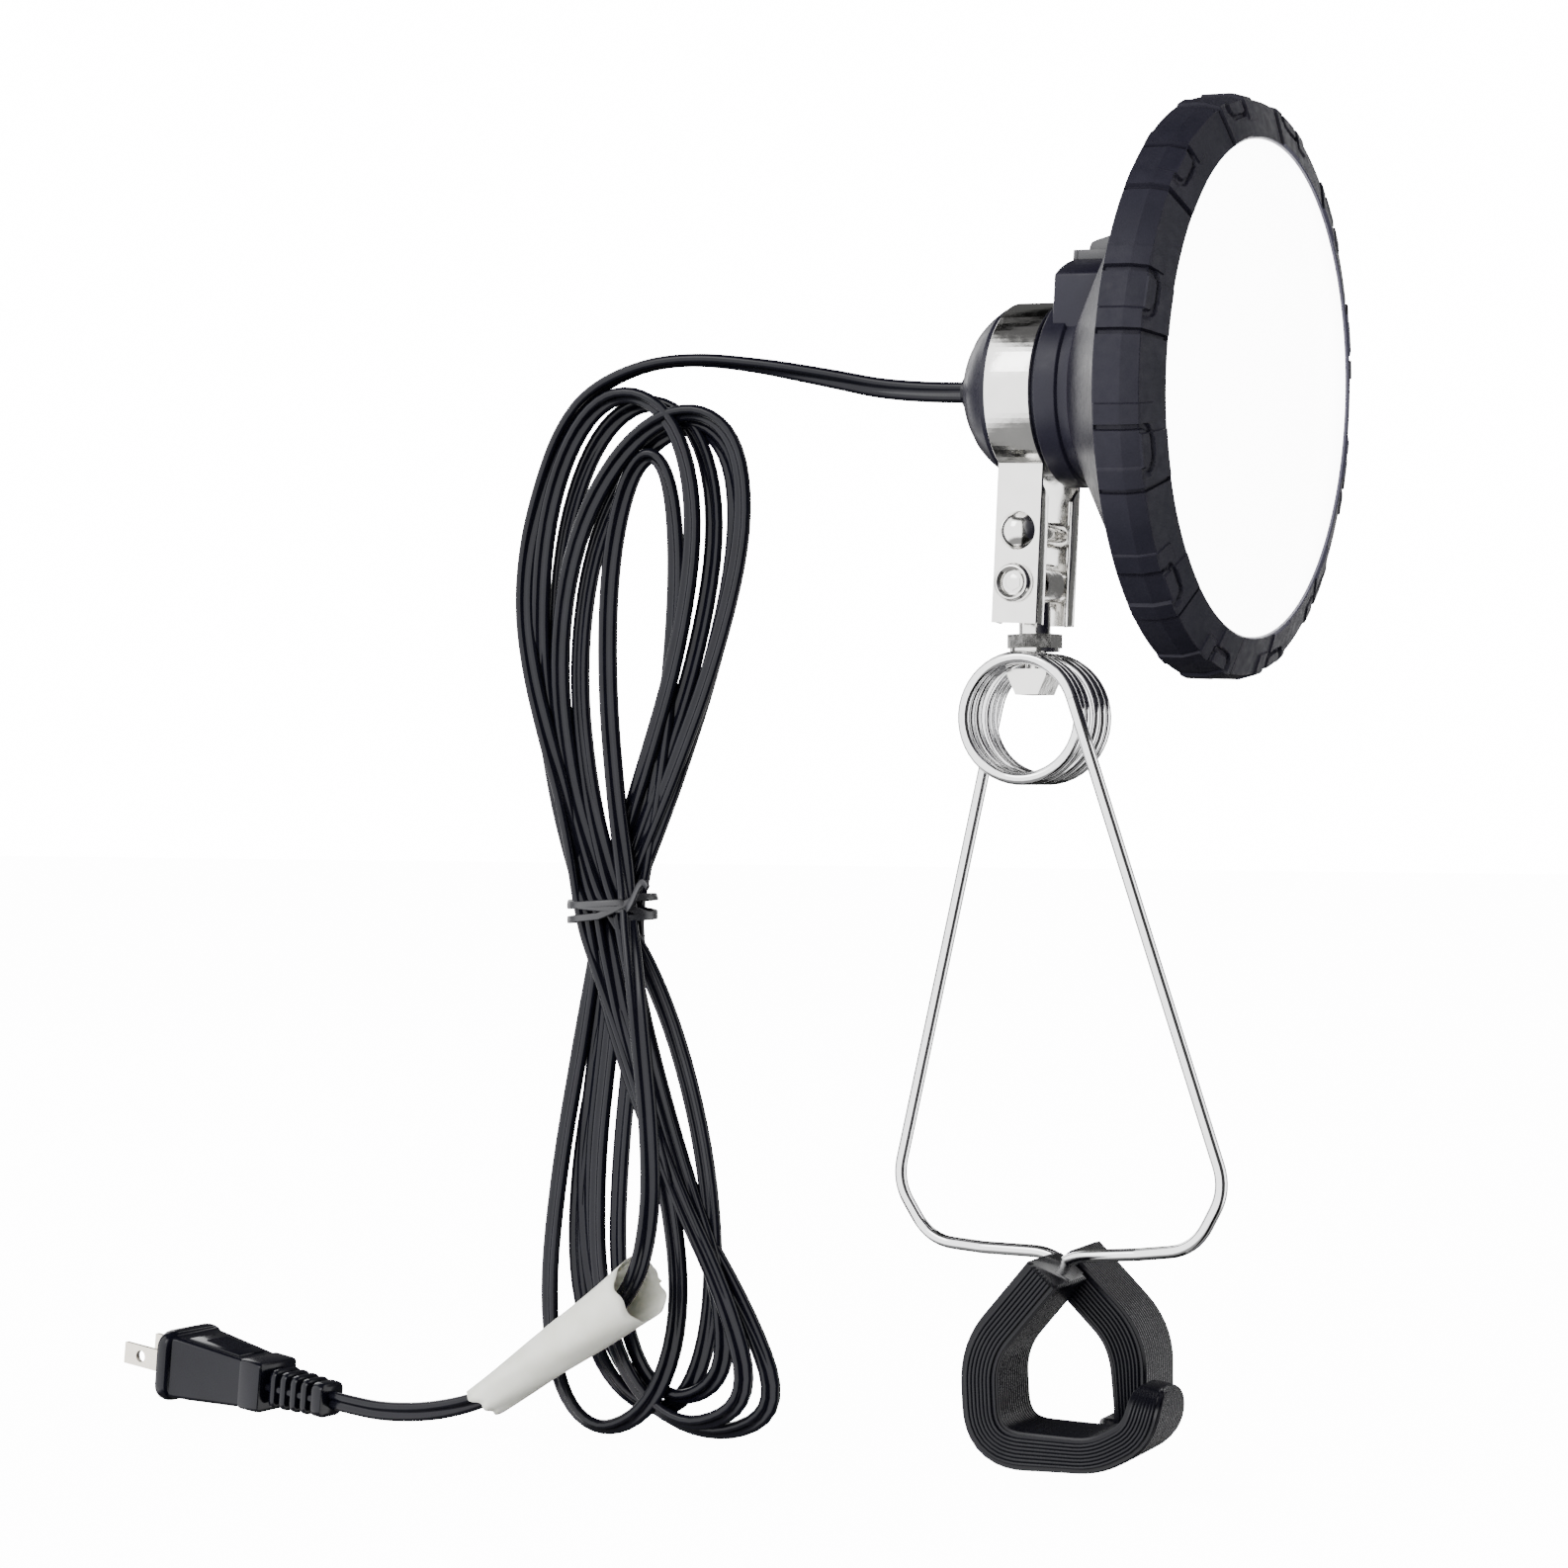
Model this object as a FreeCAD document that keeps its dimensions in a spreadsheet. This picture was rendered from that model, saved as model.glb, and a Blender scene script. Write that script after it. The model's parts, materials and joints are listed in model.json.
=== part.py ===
"""Clamp work light: LED head on a strapped swivel, wire spring clamp and a tied lamp cord.

Row frame: origin in the middle of the jaws' grip, +Z up along the swivel stud, +X towards the lens,
+Y along the spring's coil.  Millimetres.
"""
import FreeCAD, Part
import math
import os

import Sketcher
from FreeCAD import Placement, Rotation, Vector

os.makedirs("parts", exist_ok=True)
doc = FreeCAD.newDocument("work_light")

# ---------------------------------------------------------------- driving dimensions
SIZES = {
    "wire": 3.35,               # spring wire diameter
    "coil_radius": 16.05,       # wire centre line of the coil
    "coil_pitch": 3.45,         # turn to turn in a closed group
    "coil_gap": 8.6,            # centre to centre across the stud
    "leg_angle": 15.2,          # legs against the clamp's middle line
    "lean": 2.8,                # the clamp hangs this far round its coil
    "jaw_drop": 174.6,          # coil axis to the middle of the grip
    "head_swivel": -3.2,        # the head rests turned this far about the stud
    "head_nod": 2.8,            # and tilted this far down about the tilt screw
    "jaw_thick": 10.6,          # sleeve, across
    "jaw_width": 25.0,          # sleeve, along the coil axis
    "jaw_apart": 0.4,           # sleeve to the middle plane
    "pivot_rise": 35.6,         # coil axis to tilt pivot
    "lamp_rise": 51.3,          # tilt pivot to lamp axis
    "shank_radius": 2.5,        # swivel bolt and tilt screw
    "running_gap": 0.05,        # radial clearance of the turning joints
    "stem_radius": 4.2,
    "eye_radius": 6.3,
    "eye_half": 4.9,            # half the swivel eye's thickness
    "nut_flats": 12.7,
    "nut_height": 3.7,
    "washer_height": 0.9,
    "band_inner": 22.3,
    "band_sheet": 1.1,
    "band_half": 6.5,           # half the strap's width
    "ear_out": 12.3,            # lamp middle plane to an ear's outer face
    "ear_flange": 5.0,          # depth of an ear's folded edge
    "ear_below": 10.9,          # pivot to the ears' lower edge
    "strap_screw_rise": 13.7,   # pivot to the upper strap screw
    "neck_radius": 22.2,
    "collar_radius": 25.4,
    "rim_radius": 69.9,         # housing at its front rim
    "ring_rear": 47.2,          # bumper ring, from the stud axis
    "ring_inner": 70.2,
    "ring_radius": 74.6,
    "ring_edge": 54.3,          # front edge of the ring's flat side
    "ring_front": 62.2,         # the ring's mouth
    "mouth_radius": 63.8,
    "rib_height": 0.6,
    "lens_edge": 63.3,
    "lens_apex": 71.6,
    "switch_top": 34.8,         # switch box's arched top, from the lamp axis
    "cord_radius": 2.8,
    "plug_length": 59.4,
    "plug_width": 24.5,
    "plug_height": 19.0,
    "blade_apart": 12.7,
    "blade_length": 17.5,
}
sheet = doc.addObject("Spreadsheet::Sheet", "Sizes")
for line, (alias, number) in enumerate(SIZES.items(), start=1):
    sheet.set(f"A{line}", alias)
    sheet.set(f"B{line}", str(number))
    sheet.setAlias(f"B{line}", alias)
doc.recompute()


def size(alias):
    """A driving dimension, read back from the sheet."""
    return float(sheet.get(alias))


LEAN = Rotation(Vector(0, 1, 0), -size("lean"))
COIL = Vector(-size("jaw_drop") * math.sin(math.radians(size("lean"))), 0,
              size("jaw_drop") * math.cos(math.radians(size("lean"))))
PIVOT = COIL + Vector(0, 0, size("pivot_rise"))
LAMP = PIVOT + Vector(0, 0, size("lamp_rise"))
AT_LAMP = Placement(LAMP, Rotation())
AT_PIVOT = Placement(PIVOT, Rotation())
AT_COIL = Placement(COIL, Rotation())
SWIVELLED = Rotation(Vector(0, 0, 1), size("head_swivel"))
HEAD_TURN = SWIVELLED * Rotation(Vector(0, 1, 0), size("head_nod"))
ALONG_X = Rotation(Vector(0, 1, 0), 90)
ALONG_Y = Rotation(Vector(1, 0, 0), -90)

nodes = {}


def keep(name, thing):
    """Make a document object one of the part's nodes."""
    thing.Label = name
    nodes[name] = thing
    return thing


def solid(name, shape, place=Placement()):
    """A shape worked out from the sheet's sizes, as a document object."""
    thing = doc.addObject("Part::Feature", name)
    thing.Shape = shape
    thing.Placement = place
    return thing


# ---------------------------------------------------------------- Part primitives bound to the sheet
def cylinder(name, radius, length, base, axis=Rotation()):
    thing = doc.addObject("Part::Cylinder", name)
    thing.setExpression("Radius", radius)
    thing.setExpression("Height", length)
    thing.Placement = Placement(base, axis)
    return thing


def block(name, length, width, height, base, turn=Rotation()):
    thing = doc.addObject("Part::Box", name)
    thing.setExpression("Length", length)
    thing.setExpression("Width", width)
    thing.setExpression("Height", height)
    thing.Placement = Placement(base, turn)
    return thing


def cut(name, base, *tools):
    tool = tools[0] if len(tools) == 1 else fuse(name + "_tools", *tools)
    thing = doc.addObject("Part::Cut", name)
    thing.Base, thing.Tool = base, tool
    return thing


def fuse(name, *pieces):
    thing = doc.addObject("Part::MultiFuse", name)
    thing.Shapes = list(pieces)
    return thing


def group(name, pieces):
    thing = doc.addObject("Part::Compound", name)
    thing.Links = list(pieces)
    return thing


# ---------------------------------------------------------------- PartDesign helpers
def plane(body, role):
    return next(f for f in body.Origin.OriginFeatures if f.Role == role)


def outline(body, role, corners, offset=Placement()):
    """A closed sketch through corners (across, up[, radius]); a radius makes the next side an arc,
    bulging left of its travel when positive and right when negative.  Entries are sheet formulas."""
    sketch = body.newObject("Sketcher::SketchObject", body.Name + "_outline")
    sketch.AttachmentSupport = [(plane(body, role), "")]
    sketch.MapMode = "FlatFace"
    sketch.AttachmentOffset = offset

    def number(text):
        return float(body.evalExpression(text))

    spots = [Vector(number(c[0]), number(c[1]), 0) for c in corners]
    ends = []
    for i, corner in enumerate(corners):
        a, b = spots[i], spots[(i + 1) % len(spots)]
        if len(corner) == 3:
            radius = number(corner[2])
            chord = b - a
            left = Vector(-chord.y, chord.x, 0).normalize()
            rise = abs(radius) - math.sqrt(radius**2 - chord.Length**2 / 4)
            middle = (a + b) / 2 + left * math.copysign(rise, radius)
            side = sketch.addGeometry(Part.Arc(a, middle, b), False)
            starts_here = sketch.getPoint(side, 1).distanceToPoint(a) < 1e-6
            ends.append((side, 1, 2) if starts_here else (side, 2, 1))
        else:
            side = sketch.addGeometry(Part.LineSegment(a, b), False)
            ends.append((side, 1, 2))
    for i, (side, first, last) in enumerate(ends):
        after, joins, _ = ends[(i + 1) % len(ends)]
        sketch.addConstraint(Sketcher.Constraint("Coincident", side, last, after, joins))
    for i, (side, first, last) in enumerate(ends):
        for axis, text, value in (("DistanceX", corners[i][0], spots[i].x),
                                  ("DistanceY", corners[i][1], spots[i].y)):
            rule = sketch.addConstraint(Sketcher.Constraint(axis, -1, 1, side, first, value))
            sketch.setExpression(f"Constraints[{rule}]", text)
        if len(corners[i]) == 3:
            radius = abs(number(corners[i][2]))
            rule = sketch.addConstraint(Sketcher.Constraint("Radius", side, radius))
            sketch.setExpression(f"Constraints[{rule}]", f"abs({corners[i][2]})")
    return sketch


def turned(name, corners, place, role="XZ_Plane"):
    """A body of revolution about its own X axis."""
    body = doc.addObject("PartDesign::Body", name)
    sketch = outline(body, role, corners)
    turn = body.newObject("PartDesign::Revolution", name + "_turn")
    turn.Profile = sketch
    turn.ReferenceAxis = (sketch, ["H_Axis"])
    turn.Angle = 360
    body.Placement = place
    return body


def padded(name, role, corners, length, place, midplane=True):
    """A body made by padding one outline, on both sides of its plane or one."""
    body = doc.addObject("PartDesign::Body", name)
    sketch = outline(body, role, corners)
    pad = body.newObject("PartDesign::Pad", name + "_pad")
    pad.Profile = sketch
    pad.setExpression("Length", length)
    pad.Midplane = midplane
    body.Placement = place
    return body


# ---------------------------------------------------------------- wires and cords
def rounded_path(points, share=0.45, limit=None, end_share=None):
    """Straight runs joined by tangent arcs as large as the runs allow: (wire, radii)."""
    points = [Vector(*p) for p in points]
    edges, radii, here = [], [], points[0]
    for before, corner, after in zip(points, points[1:], points[2:]):
        back, ahead = before - corner, after - corner
        half_turn = (math.pi - back.getAngle(ahead)) / 2
        reach = share * min(back.Length, ahead.Length)
        if end_share and before == points[0]:
            reach = min(end_share * back.Length, share * ahead.Length)
        elif end_share and after == points[-1]:
            reach = min(share * back.Length, end_share * ahead.Length)
        if limit:
            reach = min(reach, limit * math.tan(half_turn))
        back.normalize()
        ahead.normalize()
        start, end = corner + back * reach, corner + ahead * reach
        radius = reach / math.tan(half_turn)
        inward = (back + ahead).normalize()
        middle = corner + inward * (radius / math.cos(half_turn) - radius)
        edges.append(Part.LineSegment(here, start).toShape())
        edges.append(Part.Arc(start, middle, end).toShape())
        radii.append(radius)
        here = end
    edges.append(Part.LineSegment(here, points[-1]).toShape())
    return Part.Wire(edges), radii


def tube(points, radius, share=0.45, limit=None, end_share=None):
    """A round bar along a rounded path, with its volume compared with section times length."""
    path, radii = rounded_path(points, share, limit, end_share)
    start = path.Edges[0]
    direction = start.tangentAt(start.FirstParameter)
    ring = Part.Wire([Part.Circle(Vector(*points[0]), direction, radius).toShape()])
    bar = path.makePipeShell([ring], True, False)
    wanted = math.pi * radius**2 * path.Length
    if abs(bar.Volume - wanted) > 0.02 * wanted:
        raise ValueError(f"bar of volume {bar.Volume:.0f}, not {wanted:.0f}")
    return bar, radii, path.Length


# ---------------------------------------------------------------- spring clamp
WIRE = size("wire") / 2
TURNS = 5
POINTS_PER_TURN = 12


def coil_point(angle):
    """A point of the coil's centre line at a wound angle in degrees, counted from +X over the top."""
    stud_from = 90 + 360 * ((TURNS - 1) // 2)
    group = size("coil_pitch") / 360
    crossing = size("coil_gap") / 360
    into_gap = min(max(angle - stud_from, 0), 360)
    along = (angle - into_gap) * group + into_gap * crossing
    middle = 90 + 180 * TURNS
    middle_along = (middle - 180) * group + 180 * crossing
    turn = math.radians(angle)
    return Vector(size("coil_radius") * math.cos(turn), along - middle_along,
                  size("coil_radius") * math.sin(turn))


LEG_GAP = 1.3                                   # the leg's own node starts this far below the coil
LEG_OUT = 0.18                                  # and this far out along the coil, clear of its turns
COIL_FIRST = size("leg_angle")                  # where a leg leaves the coil, above its middle
COIL_MIDDLE = 90 + 180 * TURNS
HALF_COIL = COIL_MIDDLE - COIL_FIRST


def half_coil(side):
    """The turns from one leg to the middle of the coil; side is -1 in front and +1 behind."""
    count = round(HALF_COIL / 360 * POINTS_PER_TURN)
    step = HALF_COIL / count
    outside = 1 / math.cos(math.radians(step / 2))
    points = [coil_point(COIL_FIRST)]
    for i in range(count):
        spot = coil_point(COIL_FIRST + step * (i + 0.5))
        points.append(Vector(spot.x * outside, spot.y, spot.z * outside))
    points.append(coil_point(COIL_FIRST + HALF_COIL))
    if side > 0:
        points = [Vector(-p.x, -p.y, p.z) for p in points]
    return tube([tuple(p) for p in points], WIRE, share=0.49, end_share=0.98)[0]


# each jaw's centre line beyond the crossing, and its bends' radii; the rear one is turned half round
JAW_LINE = {-1: [(4.3, -144.8), (-14.6, -165.0), (-14.6, -190.0), (16.5, -191.2), (28.6, -185.2),
                 (31.0, -173.5)],
            1: [(1.2, -145.2), (-17.1, -165.0), (-17.1, -190.6), (-5.6, -190.6)]}
JAW_BENDS = {-1: [16.0, 14.0, 14.0, 9.0], 1: [16.0, 10.8]}
TOE_WIRE = 2.6                                  # the wire stops this far inside the sleeve's toe


def arm_route(side):
    """A leg, its corner, the crossing and the jaw's hairpin, in the clamp's own frame."""
    slope = math.tan(math.radians(size("leg_angle")))
    start = coil_point(COIL_FIRST) + Vector(slope * LEG_GAP, -LEG_OUT, -LEG_GAP)
    near = -(size("jaw_apart") + WIRE + 2.1)          # strand beside the middle plane
    far = -(size("jaw_apart") + size("jaw_width") - WIRE - 2.1)
    knee = -124.0
    knee_x = start.x + slope * (start.z - knee)
    half_leg = (start.x + slope * (start.z + 60), start.y * 0.9, -60)
    *jaw, toe = JAW_LINE[side][1:]
    along_toe = Vector(*toe, 0) - Vector(*jaw[-1], 0)
    stop = along_toe * (1 - TOE_WIRE / along_toe.Length)
    jaw.append((jaw[-1][0] + stop.x, jaw[-1][1] + stop.y))
    down = [(x, near, z) for x, z in jaw]
    up = [(x, far, z) for x, z in reversed(jaw)]
    route = [tuple(start), half_leg, (knee_x, -9.4, knee), (knee_x - 9.6, -8.0, -139.8),
             (24.0, -5.6, -141.4), (2.6, near, -142.4), *down, *up, (-1.0, far, -149.5)]
    if side < 0:
        return route
    return [(-x, -y, z) for x, y, z in route]


def jaw_sleeve(name, side):
    """A ribbed vinyl sleeve: a band that follows the jaw, padded along the coil axis."""
    half = size("jaw_thick") / 2
    centre = JAW_LINE[side]
    edges = []
    for shift in (half, -half):
        spots = []
        for i, (x, z) in enumerate(centre):
            into = Vector(*centre[i], 0) - Vector(*centre[max(i - 1, 0)], 0)
            out = Vector(*centre[min(i + 1, len(centre) - 1)], 0) - Vector(*centre[i], 0)
            normals = [Vector(-d.y, d.x, 0).normalize() for d in (into, out) if d.Length > 0]
            spread = sum(normals, Vector())
            spread = spread * (shift / spread.dot(normals[0]))
            spots.append((x + spread.x, 0, z + spread.y))
        edges.append(spots)
    wires = []
    for spots, sign in zip(edges, (-1, 1)):
        radii = [bend + sign * half for bend in JAW_BENDS[side]]
        corner_path = []
        here = Vector(*spots[0])
        for before, corner, after, radius in zip(spots, spots[1:], spots[2:], radii):
            corner = Vector(*corner)
            back = (Vector(*before) - corner).normalize()
            ahead = (Vector(*after) - corner).normalize()
            half_turn = (math.pi - back.getAngle(ahead)) / 2
            reach = radius * math.tan(half_turn)
            start, end = corner + back * reach, corner + ahead * reach
            middle = corner + (back + ahead).normalize() * (radius / math.cos(half_turn) - radius)
            corner_path += [Part.LineSegment(here, start).toShape(),
                            Part.Arc(start, middle, end).toShape()]
            here = end
        corner_path.append(Part.LineSegment(here, Vector(*spots[-1])).toShape())
        wires.append(corner_path)
    closing = [Part.LineSegment(Vector(*edges[0][-1]), Vector(*edges[1][-1])).toShape(),
               Part.LineSegment(Vector(*edges[0][0]), Vector(*edges[1][0])).toShape()]
    face = Part.Face(Part.Wire(Part.__sortEdges__(wires[0] + wires[1] + closing)))
    band = face.extrude(Vector(0, -size("jaw_width"), 0))
    band.translate(Vector(0, -size("jaw_apart"), 0))
    long_edges = [e for e in band.Edges if e.BoundBox.YLength < 1e-6
                  and abs(e.Length - size("jaw_thick")) > 0.01]
    band = band.makeFillet(3.2, long_edges)
    if side > 0:
        band = band.mirror(Vector(), Vector(1, 0, 0)).mirror(Vector(), Vector(0, 1, 0))
    return keep(name, solid(name, band, Placement(COIL, LEAN)))


for name, side in (("front", -1), ("rear", 1)):
    keep(f"coil_{name}_turns", solid(f"coil_{name}_turns", half_coil(side), Placement(COIL, LEAN)))
    arm, bends, length = tube(arm_route(side), WIRE, share=0.42, limit=14)
    keep(f"{name}_spring_arm", solid(f"{name}_spring_arm", arm, Placement(COIL, LEAN)))
    jaw_sleeve(f"{name}_jaw_sleeve", side)

# saddle bolt: its tapered head bears on the coil from inside, its shank carries the swivel
COIL_TOP = size("coil_radius") + WIRE
HEAD_TOP = 13.1
saddle = padded("saddle_head", "XZ_Plane", [("-3.2", "6.3"), ("3.2", "6.3"), ("5.5", "11.4"),
                ("5.5", "13.1"), ("-5.5", "13.1"), ("-5.5", "11.4")], "12", AT_COIL)
shank = cylinder("saddle_shank", "Sizes.shank_radius", "17.4", COIL + Vector(0, 0, HEAD_TOP - 0.5))
keep("saddle_bolt", fuse("saddle_bolt", saddle, shank))

# ---------------------------------------------------------------- swivel: washer, nut, tongue
WASHER_AT = COIL + Vector(0, 0, COIL_TOP + 0.05)
NUT_AT = WASHER_AT + Vector(0, 0, size("washer_height"))
BORE = "Sizes.shank_radius + Sizes.running_gap"
disc = cylinder("washer_disc", "6.6", "Sizes.washer_height", WASHER_AT)
hole = cylinder("washer_hole", BORE, "Sizes.washer_height", WASHER_AT)
keep("swivel_washer", cut("swivel_washer", disc, hole))


def hexagon(name, flats, height, bore, place):
    """A hexagonal nut with a plain bore, padded from its own sketch."""
    across = f"({flats}) / 2 / cos(30)"
    corners = [(f"{across} * cos({60 * i + 30})", f"{across} * sin({60 * i + 30})")
               for i in range(6)]
    body = padded(name, "XY_Plane", corners, height, place, midplane=False)
    doc.recompute()
    ring = body.newObject("Sketcher::SketchObject", name + "_bore_sketch")
    ring.AttachmentSupport = [(plane(body, "XY_Plane"), "")]
    ring.MapMode = "FlatFace"
    ring.addGeometry(Part.Circle(Vector(), Vector(0, 0, 1), 1), False)
    ring.addConstraint(Sketcher.Constraint("Coincident", 0, 3, -1, 1))
    ring.addConstraint(Sketcher.Constraint("Radius", 0, 1))
    ring.setExpression("Constraints[1]", bore)
    pocket = body.newObject("PartDesign::Pocket", name + "_bore")
    pocket.Profile = ring
    pocket.Type = "ThroughAll"
    pocket.Reversed = True
    body.Tip = pocket
    doc.recompute()
    return body


keep("lock_nut", hexagon("lock_nut", "Sizes.nut_flats", "Sizes.nut_height", BORE,
                         Placement(NUT_AT, Rotation())))

NUT_TOP = NUT_AT + Vector(0, 0, size("nut_height"))
stem = cylinder("tongue_stem", "Sizes.stem_radius", str(PIVOT.z - NUT_TOP.z - 2), NUT_TOP)
EYE_AT = PIVOT - Vector(0, size("eye_half"), 0)
eye = cylinder("tongue_eye", "Sizes.eye_radius", "2 * Sizes.eye_half", EYE_AT, ALONG_Y)
cross = cylinder("tongue_cross_bore", BORE, "2 * Sizes.eye_half", EYE_AT, ALONG_Y)
blind = cylinder("tongue_stud_bore", BORE, "9.6", NUT_TOP - Vector(0, 0, 1))
keep("swivel_tongue", cut("swivel_tongue", fuse("tongue_body", stem, eye), cross, blind))

# ---------------------------------------------------------------- strap round the neck, with two ears
SHEET = size("band_sheet")
EAR_OUT = size("ear_out")
BAND_HALF = size("band_half")
EAR_TOP = 19.5                                       # below the lamp axis
EAR_FOOT = size("lamp_rise") + size("ear_below")


def lamp(x, y, z):
    """A point given from the lamp axis and the stud axis."""
    return LAMP + Vector(x, y, z)


def neck_strap():
    hoop = cylinder("strap_hoop", "Sizes.band_inner + Sizes.band_sheet", "2 * Sizes.band_half",
                    lamp(-BAND_HALF, 0, 0), ALONG_X)
    inside = cylinder("strap_inside", "Sizes.band_inner", "2 * Sizes.band_half",
                      lamp(-BAND_HALF, 0, 0), ALONG_X)
    mouth = block("strap_mouth", "2 * Sizes.band_half", "2 * (Sizes.ear_out - Sizes.band_sheet)",
                  "10", lamp(-BAND_HALF, SHEET - EAR_OUT, -EAR_TOP - 6))
    ears, holes = [], []
    for side in (-1, 1):
        face_y = -EAR_OUT if side < 0 else EAR_OUT - SHEET
        ears.append(block("ear_face", "2 * Sizes.band_half", "Sizes.band_sheet",
                          f"{EAR_FOOT - EAR_TOP}", lamp(-BAND_HALF, face_y, -EAR_FOOT)))
        edge_y = -EAR_OUT if side < 0 else EAR_OUT - size("ear_flange")
        for edge_x in (-BAND_HALF, BAND_HALF - SHEET):
            ears.append(block("ear_edge", "Sizes.band_sheet", "Sizes.ear_flange",
                              f"{EAR_FOOT - EAR_TOP - 6}", lamp(edge_x, edge_y, -EAR_FOOT)))
    for drop, radius in ((size("lamp_rise"), BORE),
                         (size("lamp_rise") - size("strap_screw_rise"), "2.05")):
        holes.append(cylinder("ear_hole", radius, "2 * Sizes.ear_out + 2",
                              lamp(0, -EAR_OUT - 1, -drop), ALONG_Y))
    ring = cut("strap_ring", hoop, inside, mouth)
    return cut("neck_strap", fuse("strap_blank", ring, *ears), *holes)


keep("neck_strap", neck_strap())

STRAP_SCREW = lamp(0, 0, size("strap_screw_rise") - size("lamp_rise"))
EAR_INSIDE = EAR_OUT - SHEET


def dome_head(name, radius, height, at, outward):
    """A domed cap on an ear's outer face, as a body turned about its own axis."""
    ball = f"({radius}^2 + {height}^2) / 2 / {height}"
    body = turned(name, [("0", "0"), (f"{height}", "0", f"-({ball})"), ("0", f"{radius}")],
                  Placement(at, Rotation(Vector(1, 0, 0), outward)))
    return body


head = dome_head("strap_screw_head", 4.6, 3.1, STRAP_SCREW - Vector(0, EAR_OUT, 0), Vector(0, -1, 0))
rod = cylinder("strap_screw_rod", "2", "2 * Sizes.ear_out + 3.6",
               STRAP_SCREW - Vector(0, EAR_OUT + 0.5, 0), ALONG_Y)
keep("strap_screw", fuse("strap_screw", head, rod))
keep("strap_nut", hexagon("strap_nut", "7.4", "2.9", "2.0",
                          Placement(STRAP_SCREW + Vector(0, EAR_OUT, 0), ALONG_Y)))
barrel = cylinder("spacer_blank", "3.7", f"{2 * EAR_INSIDE}", STRAP_SCREW - Vector(0, EAR_INSIDE, 0),
                  ALONG_Y)
barrel_bore = cylinder("spacer_bore", "2.05", f"{2 * EAR_INSIDE}",
                       STRAP_SCREW - Vector(0, EAR_INSIDE, 0), ALONG_Y)
keep("strap_spacer", cut("strap_spacer", barrel, barrel_bore))

# tilt screw: ring head with a hexagon socket in front, domed nut behind
rod = cylinder("tilt_rod", "Sizes.shank_radius", "2 * Sizes.ear_out + 3",
               PIVOT - Vector(0, EAR_OUT + 0.6, 0), ALONG_Y)
rim = cylinder("tilt_head_blank", "5.2", "2.9", PIVOT - Vector(0, EAR_OUT + 2.9, 0), ALONG_Y)
well = cylinder("tilt_head_well", "3.3", "1.6", PIVOT - Vector(0, EAR_OUT + 3.1, 0), ALONG_Y)
socket = cylinder("tilt_head_socket", "1.7", "2.4", PIVOT - Vector(0, EAR_OUT + 3.1, 0), ALONG_Y)
keep("tilt_screw", cut("tilt_screw", fuse("tilt_blank", rod, rim), well, socket))
dome = dome_head("tilt_nut_dome", 4.9, 4.4, PIVOT + Vector(0, EAR_OUT, 0), Vector(0, 1, 0))
thread = cylinder("tilt_nut_bore", "Sizes.shank_radius", "2.4", PIVOT + Vector(0, EAR_OUT, 0), ALONG_Y)
keep("tilt_nut", cut("tilt_nut", dome, thread))
bushes = []
for start in (-EAR_INSIDE, size("eye_half") + 0.05):
    long = f"{EAR_INSIDE - size('eye_half') - 0.05}"
    blank = cylinder("bush_blank", "4.7", long, PIVOT + Vector(0, start, 0), ALONG_Y)
    bore = cylinder("bush_bore", BORE, long, PIVOT + Vector(0, start, 0), ALONG_Y)
    bushes.append(cut("bush", blank, bore))
keep("tilt_bushes", group("tilt_bushes", bushes))

# ---------------------------------------------------------------- lamp head
housing_shell = turned("housing_shell", [
    ("-7.4", "19.6"), ("15", "19.6"), ("20.5", "29.2"), ("41.5", "61.6"), ("45", "62"),
    ("45", "66.4"), ("51.2", "66.4"), ("51.2", "Sizes.rim_radius"), ("45.6", "Sizes.rim_radius",
    "-90"), ("21.5", "33", "-12"), ("15.4", "Sizes.collar_radius - 0.8"),
    ("15", "Sizes.collar_radius - 0.8"), ("14.6", "Sizes.collar_radius"),
    ("8.6", "Sizes.collar_radius"), ("8.6", "Sizes.neck_radius"), ("-7.4", "Sizes.neck_radius")],
    AT_LAMP)

SWITCH_AT = 17.0                                     # rocker's middle, ahead of the stud axis
ROCK_AXIS = lamp(SWITCH_AT, 0, 33.2)
arch = cylinder("switch_arch", "Sizes.switch_top", "11.2", lamp(10.8, 0, 0), ALONG_X)
sides = block("switch_sides", "11.2", "40", "22", lamp(10.8, -20, 14.2))
box_solid = doc.addObject("Part::MultiCommon", "switch_box")
box_solid.Shapes = [arch, sides]
core = cylinder("switch_core", "23", "20", lamp(5, 0, 0), ALONG_X)
box_shell = cut("switch_box_shell", box_solid, core)
bosses, boss_holes = [], []
for quarter in range(4):
    turn = math.radians(45 + 90 * quarter)
    y, z = 50 * math.cos(turn), 50 * math.sin(turn)
    bosses.append(cylinder("board_boss", "3.4", "11", lamp(34, y, z), ALONG_X))
    boss_holes.append(cylinder("board_boss_hole", "1.25", "9", lamp(36.1, y, z), ALONG_X))
pocket = block("switch_pocket", "8.8", "15.8", "16", lamp(SWITCH_AT - 4.4, -7.9, 20.4))
keep("rear_housing", cut("rear_housing", fuse("housing_blank", housing_shell, box_shell, *bosses),
                         pocket, *boss_holes))

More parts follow.
